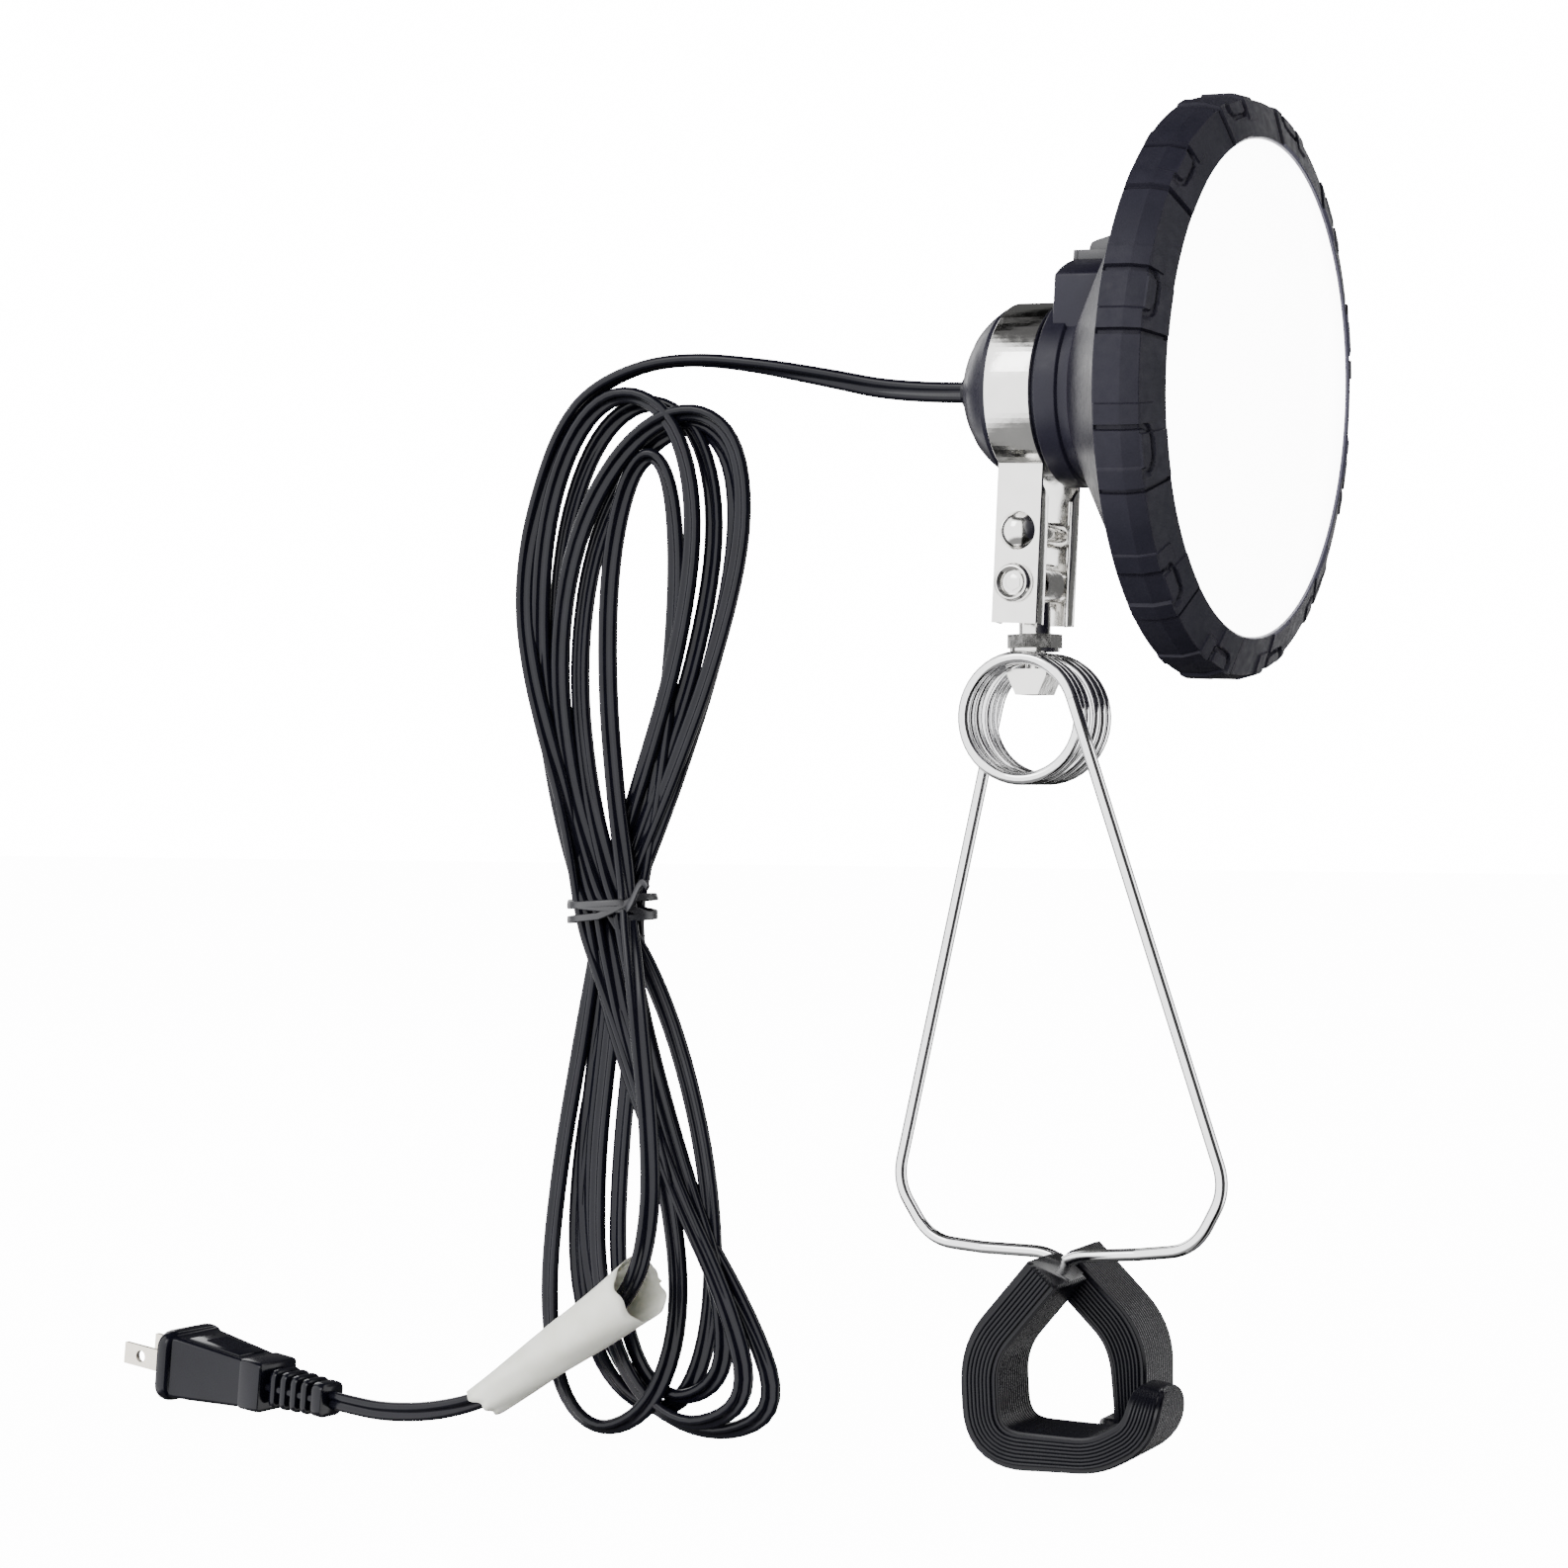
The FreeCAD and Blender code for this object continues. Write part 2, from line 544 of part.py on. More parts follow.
plate_blank = block("switch_plate_blank", "10.8", "19", "2.6", lamp(11.2, -9.5, 33.5))
under = cylinder("switch_plate_under", "Sizes.switch_top + 0.02", "13", lamp(10, 0, 0), ALONG_X)
window = block("switch_plate_window", "9", "12", "6", lamp(SWITCH_AT - 4.5, -6, 32))
keep("switch_plate", cut("switch_plate", plate_blank, under, window))
rocker_body = padded("rocker_block", "XZ_Plane", [("-3.4", "-1.2"), ("3.4", "-1.2"), ("3.4", "6.9"),
                     ("-2.7", "5.5")], "11.2", Placement(ROCK_AXIS, Rotation()))
rocker_pin = cylinder("rocker_pin", "0.6", "13", ROCK_AXIS - Vector(0, 6.5, 0), ALONG_Y)
keep("switch_rocker", fuse("switch_rocker", rocker_body, rocker_pin))
keep("switch_body", block("switch_body", "8.4", "15", "9.9", lamp(SWITCH_AT - 4.2, -7.5, 21)))

cap = turned("rear_cap", [("-22", "4.3"), ("-19.4", "4.3"), ("-18.6", "8", "24"), ("-9", "17.4"),
             ("-2.5", "17.4"), ("-2.5", "19.5"), ("-7.45", "19.5"), ("-7.45", "22.4", "-24.5")],
             AT_LAMP)
keep("rear_cap", cap)
keep("cord_grommet", turned("cord_grommet", [("-22.6", "2.9"), ("-16.4", "2.9"), ("-16.4", "6.2"),
     ("-18.3", "6.2"), ("-18.3", "4.25"), ("-22.6", "4.25")], AT_LAMP))
keep("cord_anchor", block("cord_anchor", "8", "18", "8", lamp(-16.3, -9, -4)))

ring = turned("bumper_ring", [
    ("Sizes.ring_rear", "Sizes.ring_inner"), ("55.4", "Sizes.ring_inner"),
    ("55.4", "Sizes.mouth_radius"), ("Sizes.ring_front", "Sizes.mouth_radius"),
    ("Sizes.ring_front - 2.4", "Sizes.ring_radius - 1.4"), ("Sizes.ring_edge", "Sizes.ring_radius"),
    ("Sizes.ring_rear + 0.8", "Sizes.ring_radius"),
    ("Sizes.ring_rear", "Sizes.ring_radius - 0.8")], AT_LAMP)
ring_axis = (ring.Tip.Profile[0], ["H_Axis"])
for start in (0.0, 12.0):
    tilt = Placement(Vector(), Rotation(Vector(1, 0, 0), start))
    rib_sketch = outline(ring, "XZ_Plane", [
        ("Sizes.ring_rear + 0.4", "Sizes.ring_radius - 1.5"),
        ("Sizes.ring_front - 2.6", "Sizes.ring_radius - 3"),
        ("Sizes.ring_front - 2.2", "Sizes.ring_radius - 0.9"),
        ("Sizes.ring_edge", "Sizes.ring_radius + Sizes.rib_height"),
        ("Sizes.ring_rear + 0.4", "Sizes.ring_radius + Sizes.rib_height")], tilt)
    rib = ring.newObject("PartDesign::Revolution", "ring_rib")
    rib.Profile = rib_sketch
    rib.ReferenceAxis = (rib_sketch, ["H_Axis"])
    rib.Angle = 4.5
    doc.recompute()
    pattern = ring.newObject("PartDesign::PolarPattern", "ring_ribs")
    pattern.Originals = [rib]
    pattern.Axis = ring_axis
    pattern.Angle = 360
    pattern.Occurrences = 12
    ring.Tip = pattern
    doc.recompute()
keep("bumper_ring", ring)

LENS_RISE, LENS_INSIDE, LENS_SHEET = 10.4, 61.0, 2.2


def dome_radius(edge, rise):
    """The radius of a dome of the given rise over an edge circle."""
    return f"({edge}^2 + ({rise})^2) / 2 / ({rise})"


keep("diffuser_lens", turned("diffuser_lens", [
    ("53", f"{LENS_INSIDE}"),
    (f"Sizes.lens_apex - {LENS_RISE} - 1.8", f"{LENS_INSIDE}",
     dome_radius(LENS_INSIDE, LENS_RISE - LENS_SHEET + 1.8)),
    (f"Sizes.lens_apex - {LENS_SHEET}", "0"),
    ("Sizes.lens_apex", "0", f"-({dome_radius('Sizes.lens_edge', LENS_RISE)})"),
    (f"Sizes.lens_apex - {LENS_RISE}", "Sizes.lens_edge"), ("55.2", "Sizes.lens_edge"),
    ("55.2", "69.6"), ("53", "69.6")], AT_LAMP))
keep("lens_gasket", turned("lens_gasket", [("51.2", "66.8"), ("53", "66.8"), ("53", "69.4"),
                                           ("51.2", "69.4")], AT_LAMP))


def drilled_disc(name, radius, thick, at_x):
    disc = cylinder(name + "_disc", radius, thick, lamp(at_x, 0, 0), ALONG_X)
    holes = []
    for quarter in range(4):
        turn = math.radians(45 + 90 * quarter)
        holes.append(cylinder(name + "_hole", "1.7", thick,
                              lamp(at_x, 50 * math.cos(turn), 50 * math.sin(turn)), ALONG_X))
    return keep(name, cut(name, disc, *holes))


drilled_disc("heat_spreader", "66", "1.5", 45.0)
drilled_disc("led_board", "58", "1.6", 46.5)
screws = []
for quarter in range(4):
    turn = math.radians(45 + 90 * quarter)
    y, z = 50 * math.cos(turn), 50 * math.sin(turn)
    screws.append(fuse("board_screw",
                       cylinder("board_screw_head", "2.8", "1.8", lamp(48.1, y, z), ALONG_X),
                       cylinder("board_screw_rod", "1.25", "11", lamp(37.2, y, z), ALONG_X)))
keep("board_screws", group("board_screws", screws))
chips = []
for ring_radius, count in ((13, 6), (27, 12), (42, 18)):
    for i in range(count):
        turn = Rotation(Vector(1, 0, 0), 360 / count * (i + 0.5))
        at = turn.multVec(Vector(48.1, -1.75, ring_radius - 1.4))
        chips.append(block("led_chip", "0.8", "3.5", "2.8", LAMP + at, turn))
keep("led_chips", group("led_chips", chips))

keep("driver_board", block("driver_board", "1.6", "40", "32", lamp(27, -20, -16)))
parts_on_board = [
    block("driver_transformer", "10", "13", "12", lamp(28.6, -16, -8)),
    block("driver_rectifier", "3", "7", "6", lamp(28.6, 8, -12)),
    block("driver_inductor", "7", "8", "6", lamp(28.6, 6.8, 4)),
    cylinder("driver_capacitor", "4", "13", lamp(28.6, 1.5, 9), ALONG_X),
    cylinder("driver_capacitor_small", "2.5", "8", lamp(28.6, 2, -9), ALONG_X),
]
keep("driver_components", group("driver_components", parts_on_board))
posts = [cylinder("driver_post", "2", "16.4", lamp(28.6, y, z), ALONG_X)
         for y in (-17.5, 17.5) for z in (-13.5, 13.5)]
keep("driver_posts", group("driver_posts", posts))

# ---------------------------------------------------------------- cord, hank, label and plug
CORD = size("cord_radius")
# the lead, from the rear cap to the top of the hank
LEAD_START = PIVOT + HEAD_TURN.multVec(Vector(-22.62, 0, size("lamp_rise")))
LEAD_ROUTE = [tuple(LEAD_START), (-48.6, 2.2, 263.4), (-70.5, 0.8, 268.6), (-93, -2, 273.3),
              (-111.5, -2.5, 275.6), (-127.5, -2.5, 274.2), (-143, -2, 267.8)]
# the tail, from the tie, down in front of the hank, through the label and along the table
TAIL_ROUTE = [(-129.5, -3, 121), (-124, -11, 106), (-119, -16, 85), (-115, -18.5, 61),
              (-114, -19.5, 39), (-118.5, -19.8, 19), (-130.5, -19.8, 6.8), (-147.5, -19.6, -5.2),
              (-165, -19.3, -15.6), (-183.5, -18.3, -21.3), (-201.5, -16.8, -23.2),
              (-213.5, -15.3, -22.6), (-221.9, -14.12, -21.75)]
# the hank's outer shape: height, left and right, half depth
HANK = [(270.5, -141, -126, 3.5), (262, -154, -113, 6.5), (254, -158, -101, 8.5),
        (237, -162, -95, 10), (218, -166, -94, 10), (195, -167, -100, 10), (161, -157, -110, 9),
        (129, -149.8, -124.6, 7.5), (117, -149.8, -124.6, 7.5), (93, -148, -118, 8.5),
        (59, -153, -107, 10), (25, -159, -100, 10), (8, -160, -96, 10), (-7, -156, -89, 10),
        (-19, -147, -89, 8.5), (-26.6, -136, -101, 4)]

for name, route in (("cord_lead", LEAD_ROUTE), ("cord_tail", TAIL_ROUTE)):
    cord, radii, length = tube([tuple(p) for p in route], CORD)
    keep(name, solid(name, cord))
    print(f"{name}: {length:.0f} mm, radii " + ", ".join(f"{r:.0f}" for r in radii))


def oval(z, left, right, depth):
    middle = Vector((left + right) / 2, 0, z)
    half = (right - left) / 2
    return Part.Wire([Part.Ellipse(middle + Vector(half, 0, 0), middle + Vector(0, depth, 0),
                                   middle).toShape()])


keep("cord_hank", solid("cord_hank", Part.makeLoft([oval(*row) for row in HANK], True, True)))
TIE_LOW, TIE_HIGH = 118.5, 127.5
ties = [Part.Face(oval(TIE_LOW, -149.8 - grow, -124.6 + grow, 7.5 + grow)).extrude(
        Vector(0, 0, TIE_HIGH - TIE_LOW)) for grow in (1.4, 0.15)]
keep("hank_tie", solid("hank_tie", ties[0].cut(ties[1])))

LABEL_TOP = Vector(-117.0, -19.8, 18.0)
LABEL_FOOT = Vector(-166.0, -19.4, -16.4)
label_axis = LABEL_FOOT - LABEL_TOP
cones = [Part.makeCone(wide, narrow, label_axis.Length, LABEL_TOP, label_axis)
         for wide, narrow in ((8.6, 6.4), (8.1, 5.9))]
keep("cord_label", solid("cord_label", cones[0].cut(cones[1])))

# plug: local X from the blades' face to the cable end, Y across the blades, Z up
PLUG_END = Vector(*TAIL_ROUTE[-1])
PLUG_TURN = Rotation(Vector(0, 0, 1), -8.0) * Rotation(Vector(0, 1, 0), 5.7)
PLUG_AT = PLUG_END - PLUG_TURN.multVec(Vector(size("plug_length"), 0, 0))
AT_PLUG = Placement(PLUG_AT, PLUG_TURN)


def slab(length, width, height, start, radius):
    """A block centred on the plug's axis with its long edges rounded."""
    shape = Part.makeBox(length, width, height, Vector(start, -width / 2, -height / 2))
    long_edges = [e for e in shape.Edges if abs(e.BoundBox.XLength - length) < 1e-6]
    return shape.makeFillet(radius, long_edges)


def plug_body():
    wide, high = size("plug_width"), size("plug_height")
    flange = slab(4.2, wide, high, 0, 6)
    ends = [Part.Wire(Part.makePolygon([Vector(x, s * w / 2, t * h / 2) for s, t in
            ((-1, -1), (1, -1), (1, 1), (-1, 1), (-1, -1))]).Edges)
            for x, w, h in ((4.2, 19.6, 15.6), (31, 15.0, 13.2))]
    barrel = Part.makeLoft(ends, True, True)
    shoulder = slab(8, 16.0, 14.6, 30, 2)
    pieces = [flange, barrel, shoulder, slab(size("plug_length") - 38, 6.6, 6.6, 38, 2)]
    for i in range(5):
        start = 39.6 + 3.9 * i
        pieces.append(slab(2.6 if i < 4 else size("plug_length") - start, 10.6 - 0.3 * i,
                           10.6 - 0.3 * i, start, 2.2))
    body = pieces[0].multiFuse(pieces[1:]).removeSplitter()
    return body


keep("plug_body", solid("plug_body", plug_body(), AT_PLUG))
blades = []
for side, high in ((-1, 6.35), (1, 7.94)):
    long = size("blade_length")
    blade = Part.makeBox(long + 6, 1.5, high, Vector(-long, side * size("blade_apart") / 2 - 0.75,
                                                      -high / 2))
    eye_hole = Part.makeCylinder(1.75, 4, Vector(-long + 6.6, side * size("blade_apart") / 2 - 2, 0),
                                 Vector(0, 1, 0))
    blades.append(solid("plug_blade", blade.cut(eye_hole), AT_PLUG))
keep("plug_blades", group("plug_blades", blades))

# ---------------------------------------------------------------- the head's rest position
doc.recompute()
ON_TONGUE = ["swivel_tongue", "lock_nut", "swivel_washer"]
IN_HEAD = [
    "bumper_ring", "diffuser_lens", "lens_gasket", "led_board", "led_chips", "heat_spreader",
    "board_screws", "driver_board", "driver_components", "driver_posts", "rear_housing", "rear_cap",
    "cord_grommet", "cord_anchor", "switch_plate", "switch_body", "switch_rocker", "neck_strap",
    "strap_screw", "strap_nut", "strap_spacer", "tilt_screw", "tilt_nut", "tilt_bushes"]
for names, turn in ((ON_TONGUE, SWIVELLED), (IN_HEAD, HEAD_TURN)):
    about_pivot = Placement(PIVOT, turn) * Placement(-PIVOT, Rotation())
    for name in names:
        nodes[name].Placement = about_pivot * nodes[name].Placement

# ---------------------------------------------------------------- check and write
doc.recompute()
for thing in doc.Objects:
    if {"Invalid", "Error"} & set(thing.State):
        raise RuntimeError(f"{thing.Label} failed: {thing.State}")
for name, thing in nodes.items():
    shape = thing.Shape
    if shape.isNull() or not shape.isValid() or not shape.Solids:
        raise RuntimeError(f"{name} has no valid solid")
    shape.exportStep(f"parts/{name}.step")
whole = FreeCAD.BoundBox()
for thing in nodes.values():
    whole.add(thing.Shape.BoundBox)
print(f"{len(nodes)} nodes, {whole.XLength:.1f} x {whole.YLength:.1f} x {whole.ZLength:.1f} mm,",
      f"lowest at {whole.ZMin:.1f}")
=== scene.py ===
"""Looks of the clamp work light: camera, studio, cord, spring clamp, swivel, strap and head."""

import json
import math

import bmesh
import bpy
import numpy as np
from mathutils import Matrix, Vector


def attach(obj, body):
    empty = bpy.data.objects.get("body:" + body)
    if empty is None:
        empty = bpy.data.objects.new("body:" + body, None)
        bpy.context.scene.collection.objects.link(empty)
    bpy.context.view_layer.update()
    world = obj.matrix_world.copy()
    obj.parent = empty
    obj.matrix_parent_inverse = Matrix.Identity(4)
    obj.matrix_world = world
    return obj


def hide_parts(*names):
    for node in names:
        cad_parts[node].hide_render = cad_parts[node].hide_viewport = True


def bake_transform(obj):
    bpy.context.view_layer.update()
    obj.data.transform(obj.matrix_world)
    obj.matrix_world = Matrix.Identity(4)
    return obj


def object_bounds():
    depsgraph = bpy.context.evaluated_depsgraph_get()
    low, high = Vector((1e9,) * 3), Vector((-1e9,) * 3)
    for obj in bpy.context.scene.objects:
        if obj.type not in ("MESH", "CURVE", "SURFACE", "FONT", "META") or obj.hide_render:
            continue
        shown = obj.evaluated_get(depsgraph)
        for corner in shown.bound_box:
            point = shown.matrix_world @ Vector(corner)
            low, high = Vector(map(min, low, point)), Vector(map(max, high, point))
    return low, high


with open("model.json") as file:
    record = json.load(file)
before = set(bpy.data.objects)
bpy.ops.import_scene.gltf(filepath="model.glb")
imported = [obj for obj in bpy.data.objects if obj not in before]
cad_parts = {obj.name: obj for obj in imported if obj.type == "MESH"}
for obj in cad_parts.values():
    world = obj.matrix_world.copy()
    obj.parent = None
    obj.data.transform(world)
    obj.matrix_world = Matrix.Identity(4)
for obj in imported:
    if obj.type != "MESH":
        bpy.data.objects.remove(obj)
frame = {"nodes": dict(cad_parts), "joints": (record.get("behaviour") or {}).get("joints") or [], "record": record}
CAD_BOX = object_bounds()

MM = 0.001
JOINTS = {joint["name"]: joint for joint in frame["joints"]}
COIL = Vector(JOINTS["front_arm_squeeze"]["pos_m"])          # middle of the spring's coil
PIVOT = Vector(JOINTS["head_tilt"]["pos_m"])
LAMP_RISE = 51.3                                             # tilt pivot to lamp axis, millimetres
HEAD_TURN = Matrix.Rotation(math.radians(-3.2), 3, "Z") @ Matrix.Rotation(math.radians(2.8), 3, "Y")
STUDIO_LIGHT, BACKDROP_LIGHT, FLOOR_LIGHT = 3.4, 16.0, 13.5
# dark parts of the room: turn from +X and height in degrees (None: floor to ceiling), reach, soft
# edge and the share of light left
STUDIO_PARTS = [(90, 90, 34, 9, 0.04), (90, -90, 46, 16, 0.12), (116, None, 26, 6, 0.03),
                (-33, None, 29, 4, 0.02), (56, None, 17, 5, 0.05), (172, None, 11, 5, 0.04)]


# ---------------------------------------------------------------- node materials
class Shader:
    """A material's node tree, with short ways to add what most of them need."""

    def __init__(self, name, colour, roughness, metallic=0.0, **sockets):
        self.material = bpy.data.materials.new(name)
        self.material.use_nodes = True
        self.tree = self.material.node_tree
        self.shader = self.tree.nodes["Principled BSDF"]
        self.set("Base Color", (*colour, 1))
        self.set("Roughness", roughness)
        self.set("Metallic", metallic)
        for socket, value in sockets.items():
            self.set(socket.replace("_", " "), value)
        self.place = self.add("ShaderNodeTexCoord").outputs["Object"]
        self.bumped = None

    def set(self, socket, value):
        self.shader.inputs[socket].default_value = value

    def add(self, kind, **settings):
        node = self.tree.nodes.new(kind)
        for name, value in settings.items():
            if name in node.inputs:
                node.inputs[name].default_value = value
            else:
                setattr(node, name, value)
        return node

    def link(self, a, b):
        self.tree.links.new(a, b)

    def noise(self, scale, detail=4.0, stretch=None):
        """A noise pattern with cells of about 1/scale metres, stretched per axis."""
        node = self.add("ShaderNodeTexNoise", Scale=scale, Detail=detail)
        source = self.place
        if stretch:
            mapping = self.add("ShaderNodeMapping")
            mapping.inputs["Scale"].default_value = stretch
            self.link(source, mapping.inputs["Vector"])
            source = mapping.outputs["Vector"]
        self.link(source, node.inputs["Vector"])
        return node.outputs["Fac"]

    def bump(self, height, depth, strength=1.0):
        node = self.add("ShaderNodeBump", Strength=strength, Distance=depth)
        self.link(height, node.inputs["Height"])
        if self.bumped:
            self.link(self.bumped, node.inputs["Normal"])
        self.bumped = node.outputs["Normal"]
        self.link(self.bumped, self.shader.inputs["Normal"])

    def vary(self, socket, factor, low, high):
        """The socket runs from low to high as the factor does."""
        if isinstance(low, tuple):
            node = self.add("ShaderNodeValToRGB")
            node.color_ramp.elements[0].position = 0.3
            node.color_ramp.elements[1].position = 0.7
            node.color_ramp.elements[0].color = (*low, 1)
            node.color_ramp.elements[1].color = (*high, 1)
            self.link(factor, node.inputs["Fac"])
            self.link(node.outputs["Color"], self.shader.inputs[socket])
        else:
            node = self.add("ShaderNodeMapRange")
            node.inputs["From Min"].default_value = 0.3
            node.inputs["From Max"].default_value = 0.7
            node.inputs["To Min"].default_value = low
            node.inputs["To Max"].default_value = high
            self.link(factor, node.inputs["Value"])
            self.link(node.outputs["Result"], self.shader.inputs[socket])


def bumper_rubber():
    look = Shader("bumper_rubber", (0.014, 0.013, 0.021), 0.5, Specular_IOR_Level=0.14)
    look.vary("Base Color", look.noise(90), (0.011, 0.0105, 0.018), (0.016, 0.015, 0.024))
    look.vary("Roughness", look.noise(400), 0.44, 0.6)
    look.bump(look.noise(2600, 2), 0.00006, 0.5)
    return look.material


def housing_plastic():
    look = Shader("housing_plastic", (0.012, 0.011, 0.019), 0.34, Specular_IOR_Level=0.18)
    look.vary("Base Color", look.noise(60), (0.009, 0.008, 0.016), (0.014, 0.013, 0.023))
    look.vary("Roughness", look.noise(300), 0.3, 0.42)
    look.bump(look.noise(3200, 2), 0.00003, 0.35)
    return look.material


def lens_diffuser():
    look = Shader("lens_diffuser", (0.95, 0.95, 0.96), 0.28, Coat_Weight=0.25, Coat_Roughness=0.1)
    look.vary("Base Color", look.noise(30), (0.94, 0.94, 0.955), (0.97, 0.97, 0.98))
    look.set("Subsurface Weight", 0.35)
    look.set("Subsurface Radius", (0.012, 0.012, 0.012))
    look.set("Emission Color", (1.0, 0.995, 1.0, 1))
    look.set("Emission Strength", 12.0)
    look.bump(look.noise(900, 2), 0.00002, 0.2)
    return look.material


def bright_metal(name, colour, roughness, ripple):
    look = Shader(name, colour, roughness, 1.0)
    look.vary("Base Color", look.noise(180), colour, tuple(c * 0.93 for c in colour))
    look.vary("Roughness", look.noise(500), roughness * 0.7, roughness * 1.5)
    look.bump(look.noise(260, 3), ripple, 0.35)
    return look.material


def cord_vinyl():
    look = Shader("cord_vinyl", (0.005, 0.005, 0.009), 0.16, Specular_IOR_Level=0.2)
    look.vary("Base Color", look.noise(140), (0.004, 0.004, 0.008), (0.006, 0.006, 0.011))
    look.vary("Roughness", look.noise(90), 0.12, 0.19)
    look.bump(look.noise(160, 1), 0.00005, 0.15)
    return look.material


def jaw_vinyl():
    look = Shader("jaw_vinyl", (0.004, 0.004, 0.007), 0.22, Specular_IOR_Level=0.2)
    look.vary("Base Color", look.noise(200), (0.003, 0.003, 0.006), (0.005, 0.005, 0.008))
    look.vary("Roughness", look.noise(120), 0.2, 0.3)
    look.bump(look.noise(120, 1), 0.00003, 0.15)
    return look.material


def label_paper():
    look = Shader("label_paper", (0.82, 0.82, 0.74), 0.45, Specular_IOR_Level=0.45)
    look.vary("Base Color", look.noise(120), (0.79, 0.79, 0.70), (0.88, 0.88, 0.81))
    look.set("Subsurface Weight", 0.15)
    look.set("Subsurface Radius", (0.002, 0.002, 0.0015))
    look.bump(look.noise(150, 3), 0.0004, 0.35)
    look.bump(look.noise(2000, 2), 0.00005, 0.25)
    return look.material


def plain(name, colour, roughness, metallic=0.0, grain=1200):
    look = Shader(name, colour, roughness, metallic)
    look.vary("Base Color", look.noise(250), colour, tuple(min(1, c * 1.15) for c in colour))
    look.bump(look.noise(grain, 2), 0.00005, 0.3)
    return look.material


LOOKS = {
    "bumper_rubber": bumper_rubber(),
    "housing_plastic": housing_plastic(),
    "lens": lens_diffuser(),
    "switch_plastic": plain("switch_plastic", (0.02, 0.02, 0.024), 0.4),
    "zinc": bright_metal("nickel_strap", (0.80, 0.79, 0.77), 0.13, 0.0002),
    "spring_chrome": bright_metal("spring_chrome", (0.83, 0.83, 0.84), 0.06, 0.0001),
    "jaw_vinyl": jaw_vinyl(),
    "cord_vinyl": cord_vinyl(),
    "tie": plain("tie_plastic", (0.018, 0.018, 0.022), 0.35),
    "label_paper": label_paper(),
    "blade_brass": bright_metal("blade_plate", (0.76, 0.71, 0.62), 0.24, 0.0001),
    "circuit_board": plain("circuit_board", (0.8, 0.81, 0.8), 0.4),
    "aluminium_plate": bright_metal("aluminium_plate", (0.78, 0.79, 0.8), 0.35, 0.0001),
    "electronics": plain("electronics", (0.06, 0.06, 0.07), 0.5),
    "led": plain("led_phosphor", (0.9, 0.78, 0.3), 0.4),
}


# ---------------------------------------------------------------- mesh making
def piece(name, verts, faces, slot, body, stands_for=(), sharp=35, blend=None):
    """A finished mesh piece: its material, its body and the CAD nodes that it stands for."""
    data = bpy.data.meshes.new(name)
    data.from_pydata([tuple(v) for v in verts], [], faces)
    data.validate()
    shape = bmesh.new()
    shape.from_mesh(data)
    bmesh.ops.recalc_face_normals(shape, faces=shape.faces)
    shape.to_mesh(data)
    shape.free()
    return finished(name, data, slot, body, stands_for, sharp, blend)


def finished(name, data, slot, body, stands_for=(), sharp=35, blend=None):
    thing = bpy.data.objects.new(name, data)
    bpy.context.scene.collection.objects.link(thing)
    data.materials.clear()
    data.materials.append(LOOKS[slot])
    data.shade_smooth()
    data.set_sharp_from_angle(angle=math.radians(sharp))
    if blend:
        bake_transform(thing)
    else:
        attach(thing, body)
    if stands_for:
        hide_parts(*stands_for)
    return thing


def lamp(x, y, z):
    """A point of the head, from the stud axis and the lamp axis in millimetres, in the row frame."""
    return PIVOT + HEAD_TURN @ Vector((x, y, z + LAMP_RISE)) * MM


def lathe(profile, place, steps=160):
    """Verts and faces of a profile (along, radius) turned about its axis; place maps x, y, z."""
    verts, faces = [], []
    count = len(profile)
    for i in range(steps):
        turn = 2 * math.pi * i / steps
        for along, radius in profile:
            verts.append(place(along, -radius * math.cos(turn), radius * math.sin(turn)))
    for i in range(steps):
        here, there = i * count, (i + 1) % steps * count
        for j in range(count - 1):
            a, b, c, d = here + j, here + j + 1, there + j + 1, there + j
            if profile[j][1] < 1e-9:
                faces.append((a, b, c))
            elif profile[j + 1][1] < 1e-9:
                faces.append((a, b, d))
            else:
                faces.append((a, b, c, d))
    return weld(verts, faces)


def weld(verts, faces, gap=1e-7):
    """The same faces with doubled points joined."""
    shape = shape_of(verts, faces, turned_out=False)
    bmesh.ops.remove_doubles(shape, verts=shape.verts, dist=gap)
    shape.verts.index_update()
    out_verts = [v.co.copy() for v in shape.verts]
    out_faces = [tuple(v.index for v in f.verts) for f in shape.faces]
    shape.free()
    return out_verts, out_faces


def arc(centre, radius, first, last, count):
    """Points of an arc in a plane, from one angle to another in degrees."""
    return [(centre[0] + radius * math.cos(math.radians(first + (last - first) * i / count)),
             centre[1] + radius * math.sin(math.radians(first + (last - first) * i / count)))
            for i in range(count + 1)]


def rounded_corner(before, corner, after, half_turn, radius, steps):
    """Points of the curve that rounds a corner, no longer than its two runs allow."""
    back, ahead = before - corner, after - corner
    reach = min(radius * math.tan(half_turn), 0.45 * back.length, 0.45 * ahead.length)
    start, end = corner + back.normalized() * reach, corner + ahead.normalized() * reach
    return [start * (1 - t) ** 2 + corner * 2 * t * (1 - t) + end * t * t
            for t in (i / steps for i in range(steps + 1))]


def rounded_profile(points, radius, steps=4):
    """An open profile with its inner corners rounded."""
    out = [points[0]]
    for before, corner, after in zip(points, points[1:], points[2:]):
        a, b, c = (Vector(p) for p in (before, corner, after))
        turn = math.pi - (a - b).angle(c - b)
        if turn < 0.05:
            out.append(corner)
        else:
            out += [tuple(p) for p in rounded_corner(a, b, c, turn / 2, radius, steps)]
    out.append(points[-1])
    return out


